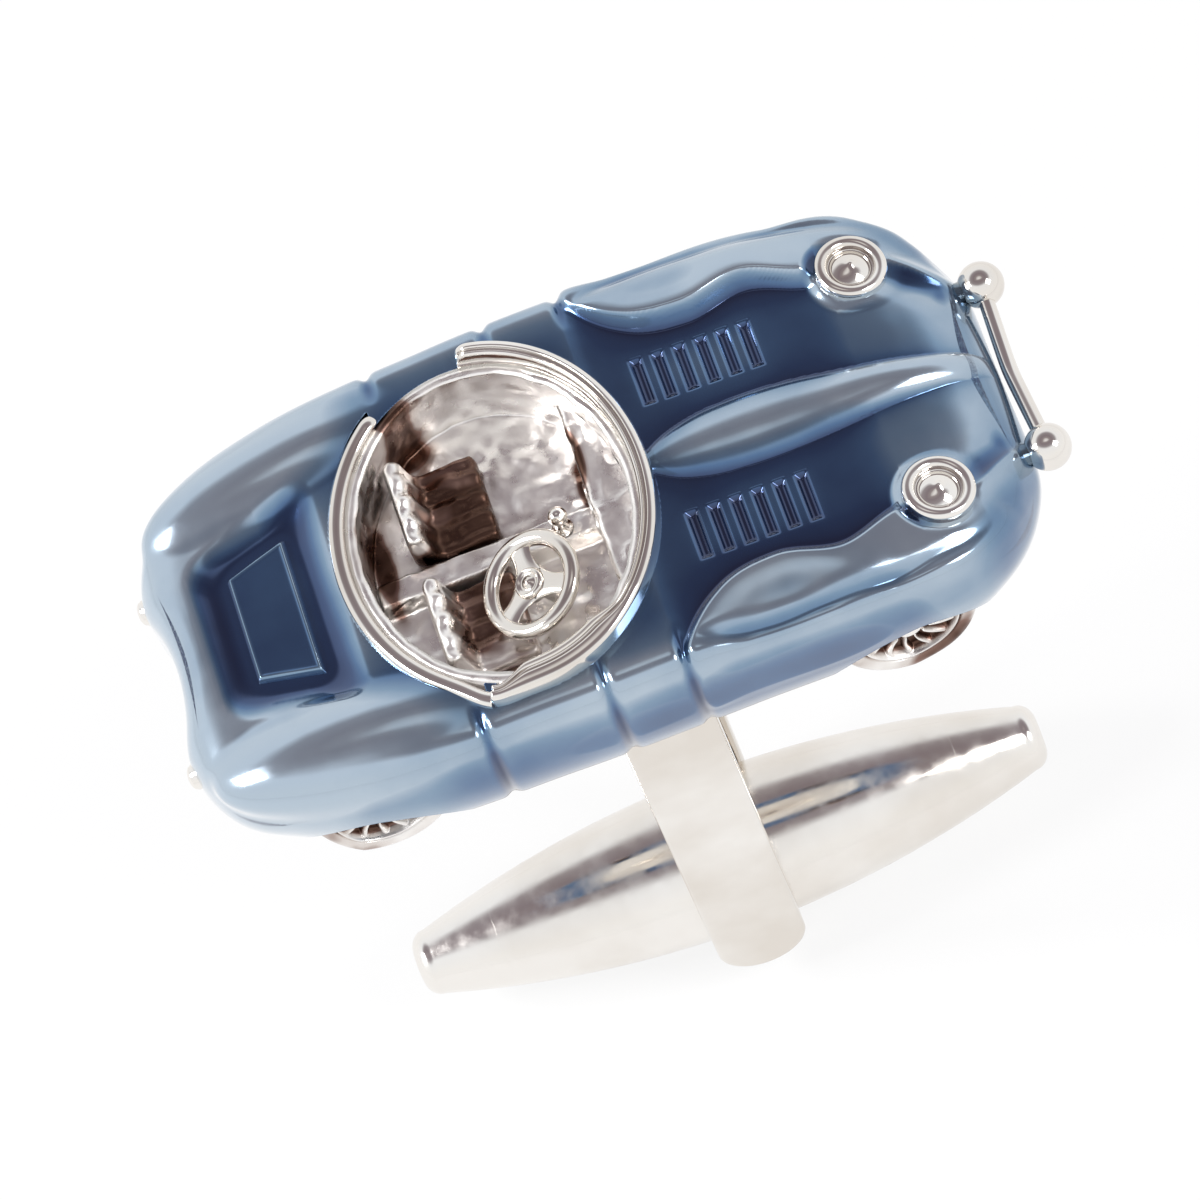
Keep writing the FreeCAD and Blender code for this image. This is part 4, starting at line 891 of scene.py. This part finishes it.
def build_fittings():
    lamp = [(0.0, -0.9), (LAMP_RADIUS, -0.9), (LAMP_RADIUS, -0.02)]
    lamp += arc((0.8, 0.0), (0.18, 0.17), 0, math.pi, 18) + [(0.6, -0.08), (LENS_RADIUS, -0.06)]
    for r in np.linspace(0.54, 0.0, 26):
        lamp.append((r, 0.2 * (1 - (r / LENS_RADIUS) ** 2) - 0.03 + 0.06 * bell(r, 0, 0.12)))
    overrider = [(0.0, 10.6), (0.3, 10.6), (0.3, 11.5)] + ball(OVERRIDER_X, OVERRIDER_RADIUS, 30)
    tail = [(0.0, 11.0), (0.36, 11.0), (0.36, 11.96)]
    tail += arc((0.0, TAIL_LAMP_X), (0.33, 0.16), 0, math.pi / 2, 14)
    for name, side in (("left", 1), ("right", -1)):
        for kind, profile, place, lean, segments in (
                ("headlamp", lamp, (LAMP_PLACE[0], side * LAMP_PLACE[1], LAMP_Z), LAMP_LEAN, 72),
                ("overrider", overrider, (0, side * OVERRIDER_Y, OVERRIDER_Z), 90, 56),
                ("tail_lamp", tail, (0, side * TAIL_LAMP_Y, TAIL_LAMP_Z), -90, 48)):
            node = "%s_%s" % (kind, name)
            piece = Builder().lathe(profile, place, rotation(lean, "Y"), segments)
            piece.finish(node, chrome)
    y = np.linspace(-OVERRIDER_Y, OVERRIDER_Y, 41)
    share = np.sqrt((y / OVERRIDER_Y) ** 2 + 0.01)
    path = np.stack([BUMPER_X + 0.15 * share, y, BUMPER_Z + 0.2 * share], -1)
    Builder().tube(path, BUMPER_RADIUS).finish("front_bumper", chrome)


def build_wheel(node, axle, outer_y, side):
    radius = np.linspace(0.0, WHEEL_RADIUS, 90)
    angle = full_turn(288)
    r, t = np.meshgrid(radius, angle, indexing="ij")
    tyre = smooth_step(1.4, 1.5, r) * np.sqrt(np.clip(1 - ((r - 1.67) / 0.3) ** 2, 0, 1))
    lip = bell(r, 1.36, 0.07)
    hub = smooth_step(0.55, 0.3, r)
    spokes = np.clip(np.cos(14 * t + 1.6 * np.sin(r * 3)), 0, 1)
    spokes = spokes * smooth_step(0.45, 0.6, r) * smooth_step(1.38, 1.25, r)
    relief = np.maximum.reduce([tyre, 0.95 * lip, 0.9 * hub, 0.7 * spokes])
    # Painted shade: browner where the wheel lies deep between its spokes and on its inner wall; the tyre is
    # darker too
    stain = np.clip(1.0 - 1.4 * relief, 0, 1) + 0.45 * tyre
    x, z = axle + r * np.cos(t), WHEEL_Z + r * np.sin(t)
    sill = half_width(x) - SILL_INSET - 0.02
    y = side * (np.minimum(outer_y, sill) + WHEEL_RELIEF * (relief - 1))
    points = np.stack([x, y, z, stain], -1).reshape(-1, 4)
    faces = grid_faces(len(radius), len(angle), wrap=True)
    keep = ARCH_RADIUS - WHEEL_CLEARANCE - np.hypot(points[:, 0] - axle, points[:, 2] - ARCH_Z)
    points, faces, edges = clip(points, faces, keep)
    edge_start = (len(radius) - 1) * len(angle)
    rim = [(edge_start + k, edge_start + (k + 1) % len(angle)) for k in range(len(angle))]
    rim = [(a, b) for a, b in rim if keep[a] > 0 and keep[b] > 0]
    points, walls, ring = wall(points, edges + rim, lambda p: (p[0], side * WHEEL_INNER_Y, p[2]), 1.0)
    faces += walls + [in_turn(points, ring, axle)[::-1]]
    piece = Builder()
    stain = piece.take(points, [face[::-side] for face in faces])
    piece.finish(node, cast, stain=stain)


# Back plate, post and toggle

def build_back():
    outline = []
    for quarter, (sx, sy) in enumerate(((1, 1), (-1, 1), (-1, -1), (1, -1))):
        centre = (sx * (PLATE_HALF_X - PLATE_CORNER), sy * (PLATE_HALF_Y - PLATE_CORNER))
        first = quarter * math.pi / 2
        outline += arc(centre, (PLATE_CORNER, PLATE_CORNER), first, first + math.pi / 2, 12)
    Builder().prism(outline, 0.0, PLATE_THICK, 0.08, "Z").finish("back_plate", chrome)

    half = ARM_WIDTH / 2
    arm = [(half, 0.0), (-half, 0.0)]
    arm += [(-half, z) for z in np.linspace(-1, PIVOT_Z + 1, 12)]
    arm += arc((0, PIVOT_Z), (half, half), math.pi, 2 * math.pi, 48)
    arm += [(half, z) for z in np.linspace(PIVOT_Z + 1, -1, 12)]
    bridge = [(half, 0.0), (-half, 0.0), (-half, -BRIDGE), (half, -BRIDGE)]
    yoke = Builder()
    yoke.prism(arm, ARM_INNER, ARM_OUTER, 0.2, "Y")
    yoke.prism(arm, -ARM_OUTER, -ARM_INNER, 0.2, "Y")
    yoke.prism(bridge, -ARM_INNER - 0.3, ARM_INNER + 0.3, 0.1, "Y")
    yoke.finish("yoke", chrome)

    # The pin's ends are riveted and polished flush, so they lie just under the arms' faces
    start, end = PIN_SQUARE_END - 0.02, ARM_OUTER - PIN_FLUSH
    profile = [(0.0, start), (PIN_RADIUS, start), (PIN_RADIUS, end - 0.04), (0.54, end), (0.0, end)]
    square = [(sx * PIN_SQUARE_HALF, PIVOT_Z + sz * PIN_SQUARE_HALF)
              for sx, sz in ((1, -1), (1, 1), (-1, 1), (-1, -1))]
    pin = Builder()
    for side in (1, -1):
        pin.lathe(profile, (0, 0, PIVOT_Z), rotation(-90 * side, "X"), 48)
    pin.prism(square, -PIN_SQUARE_END, PIN_SQUARE_END, 0.02, "Y")
    pin.finish("pivot_pin", chrome)


def toggle_radius(x):
    drop = TOGGLE_BELLY - TOGGLE_TIP
    bow = (TOGGLE_HALF ** 2 + drop ** 2) / (2 * drop)
    return TOGGLE_BELLY - bow + np.sqrt(bow * bow - np.asarray(x) ** 2)


def build_toggle():
    origin = (0, 0, PIVOT_Z)
    forward, backward = rotation(90, "Y"), rotation(-90, "Y")
    seam = float(toggle_radius(SHELL_HALF)) - SEAM_DROP
    edge = SHELL_HALF - SEAM_LENGTH
    x = np.concatenate([[-edge], np.linspace(SEAM_LENGTH - edge, edge - SEAM_LENGTH, 90), [edge]])
    shell = [(BORE, -SHELL_HALF), (seam, -SHELL_HALF)] + list(zip(toggle_radius(x), x))
    shell += [(seam, SHELL_HALF), (BORE, SHELL_HALF), (BORE, -SHELL_HALF)]
    Builder().lathe(shell, origin, forward, 128).finish("toggle_shell", bar_metal, body=TOGGLE)
    edge = SHELL_HALF + SEAM_LENGTH
    round_start = TOGGLE_HALF - CAP_ROUND
    x = np.concatenate([[edge], np.linspace(edge + SEAM_LENGTH, round_start, 30)])
    plug = SHELL_HALF - CAP_PLUG
    cap = [(0.0, plug), (BORE, plug), (BORE, SHELL_HALF), (seam, SHELL_HALF)]
    cap += list(zip(toggle_radius(x), x))
    inner = float(toggle_radius(round_start)) - CAP_SHRINK
    cap += arc((inner, round_start), (CAP_SHRINK, CAP_ROUND), 0, math.pi / 2, 16)[1:] + [(0.0, TOGGLE_HALF)]
    for name, turn in (("front", forward), ("rear", backward)):
        Builder().lathe(cap, origin, turn, 128).finish("toggle_cap_" + name, bar_metal, body=TOGGLE)


build_body()
build_boot_panel()
rim_ends = (SCREEN_LEFT, SCREEN_RIGHT, REAR_RIM_LEFT, REAR_RIM_RIGHT)
screen_left, screen_right, rear_left, rear_right = (math.acos((x - COCKPIT_X) / COCKPIT_A) for x in rim_ends)
build_rim("windscreen_frame", -screen_right - RIM_OVERLAP, screen_left, SCREEN_STAND, True)
build_rim("rear_cockpit_rim", rear_left, 2 * math.pi - rear_right + RIM_OVERLAP, RIM_STAND, False)
build_tub()
build_seat("passenger_seat", 1)
build_seat("driver_seat", -1)
build_dashboard()
build_steering_wheel()
build_gear_lever()
build_fittings()
for axle_name, axle, outer_y in (("front", FRONT_AXLE, FRONT_WHEEL_Y), ("rear", REAR_AXLE, REAR_WHEEL_Y)):
    for side_name, side in (("left", 1), ("right", -1)):
        build_wheel("%s_wheel_%s" % (axle_name, side_name), axle, outer_y, side)
build_back()
build_toggle()
spring_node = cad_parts["leaf_spring"]
spring_node.data.materials.clear()
spring_node.data.materials.append(spring)


# Floor, lights and camera

FLOOR_Z, FLOOR_HALF, FLOOR_GLOW = PIVOT_Z - TOGGLE_BELLY - 0.05, 900.0, 0.8
# The sky is bright near the horizon and dark higher up, as in a room with white screens set round the object
SKY_STOPS = ((0.0, (1.0, 1.0, 1.0)), (0.61, (0.95, 0.97, 1.0)), (0.75, (0.33, 0.30, 0.32)),
             (0.9, (0.25, 0.21, 0.23)), (0.965, (0.32, 0.28, 0.29)), (1.0, (0.85, 0.84, 0.84)))
SKY_NEAR_SHIFT = 0.3


def floor_material():
    """White, partly by its own light to eye and metal, so that shadows stay."""
    item, tree, shader = material("white_floor")
    fill(shader, Base_Color=(0.92, 0.92, 0.92, 1), Roughness=0.9)
    glow = new(tree, "Emission")
    fill(glow, Strength=1.0)
    path = new(tree, "LightPath")
    seen = path.outputs["Is Camera Ray"]
    for other in ("Is Glossy Ray", "Is Transmission Ray"):
        seen = calculate(tree, "MAXIMUM", seen, path.outputs[other])
    mix = new(tree, "MixShader")
    tree.links.new(calculate(tree, "MULTIPLY", seen, FLOOR_GLOW), mix.inputs["Fac"])
    tree.links.new(shader.outputs["BSDF"], mix.inputs[1])
    tree.links.new(glow.outputs["Emission"], mix.inputs[2])
    tree.links.new(mix.outputs["Shader"], tree.nodes["Material Output"].inputs["Surface"])
    return item


def build_floor():
    corners = [(sx * FLOOR_HALF, sy * FLOOR_HALF, FLOOR_Z) for sx, sy in ((-1, -1), (1, -1), (1, 1), (-1, 1))]
    obj = make_object("floor", corners, [[0, 1, 2, 3]], floor_material())


def build_sky():
    world = bpy.data.worlds.new("studio")
    scene.world = world
    world.use_nodes = True
    tree = world.node_tree
    sky = tree.nodes["Background"]
    fill(sky, Strength=1.0)
    place = split_place(tree, "Generated")
    # The dark part reaches less far down on the near side
    near = calculate(tree, "MINIMUM", place["Y"], 0.0)
    level = calculate(tree, "MULTIPLY_ADD", near, SKY_NEAR_SHIFT, place["Z"])
    tree.links.new(ramp(tree, level, SKY_STOPS), sky.inputs["Color"])


def build_lamp(name, place, sides, power):
    """A rectangular lamp that faces the car."""
    data = bpy.data.lights.new(name, "AREA")
    data.shape = "RECTANGLE"
    data.size, data.size_y = sides[0] * MM, sides[1] * MM
    data.energy = power
    obj = bpy.data.objects.new(name, data)
    obj.location = Vector(place) * MM
    obj.rotation_euler = (-Vector(place)).to_track_quat("-Z", "Y").to_euler()
    scene.collection.objects.link(obj)


build_floor()
build_sky()
build_lamp("key", (-150, 10, 105), (70, 50), 0.22)
build_lamp("fill", (110, -60, 120), (60, 60), 0.08)

# Camera at the photograph's place, turned to put the cufflink in the middle
# The focal length and the middles of photograph and cufflink are in the photograph's pixels
PHOTO_RIGHT = Vector((0.9336, -0.3334, -0.1313))
PHOTO_DOWN = Vector((-0.3548, -0.8094, -0.468))
PHOTO_FORWARD = Vector((0.0497, 0.4835, -0.8739))
CAMERA_PLACE = Vector((4.7, -77.6, 129.5))
PHOTO_FOCAL, PHOTO_MIDDLE, OBJECT_MIDDLE = 2830.0, 600.0, (351.0, 612.0)
ENLARGE, SENSOR = 2.0, 36.0
aim = (PHOTO_FORWARD + PHOTO_RIGHT * (OBJECT_MIDDLE[0] - PHOTO_MIDDLE) / PHOTO_FOCAL
       + PHOTO_DOWN * (OBJECT_MIDDLE[1] - PHOTO_MIDDLE) / PHOTO_FOCAL).normalized()
turned = PHOTO_FORWARD.rotation_difference(aim)
right = (turned @ PHOTO_RIGHT).normalized()
up = right.cross(aim).normalized()
right = aim.cross(up).normalized()
camera = bpy.data.objects.new("camera", bpy.data.cameras.new("camera"))
camera.data.sensor_width = SENSOR
camera.data.lens = PHOTO_FOCAL / (2 * PHOTO_MIDDLE) * SENSOR * ENLARGE
camera.data.clip_start, camera.data.clip_end = 0.005, 20.0
axes = Matrix((right, up, -aim)).transposed().to_4x4()
camera.matrix_world = Matrix.Translation(CAMERA_PLACE * MM) @ axes
scene.collection.objects.link(camera)
scene.camera = camera
scene.view_settings.view_transform = "Standard"
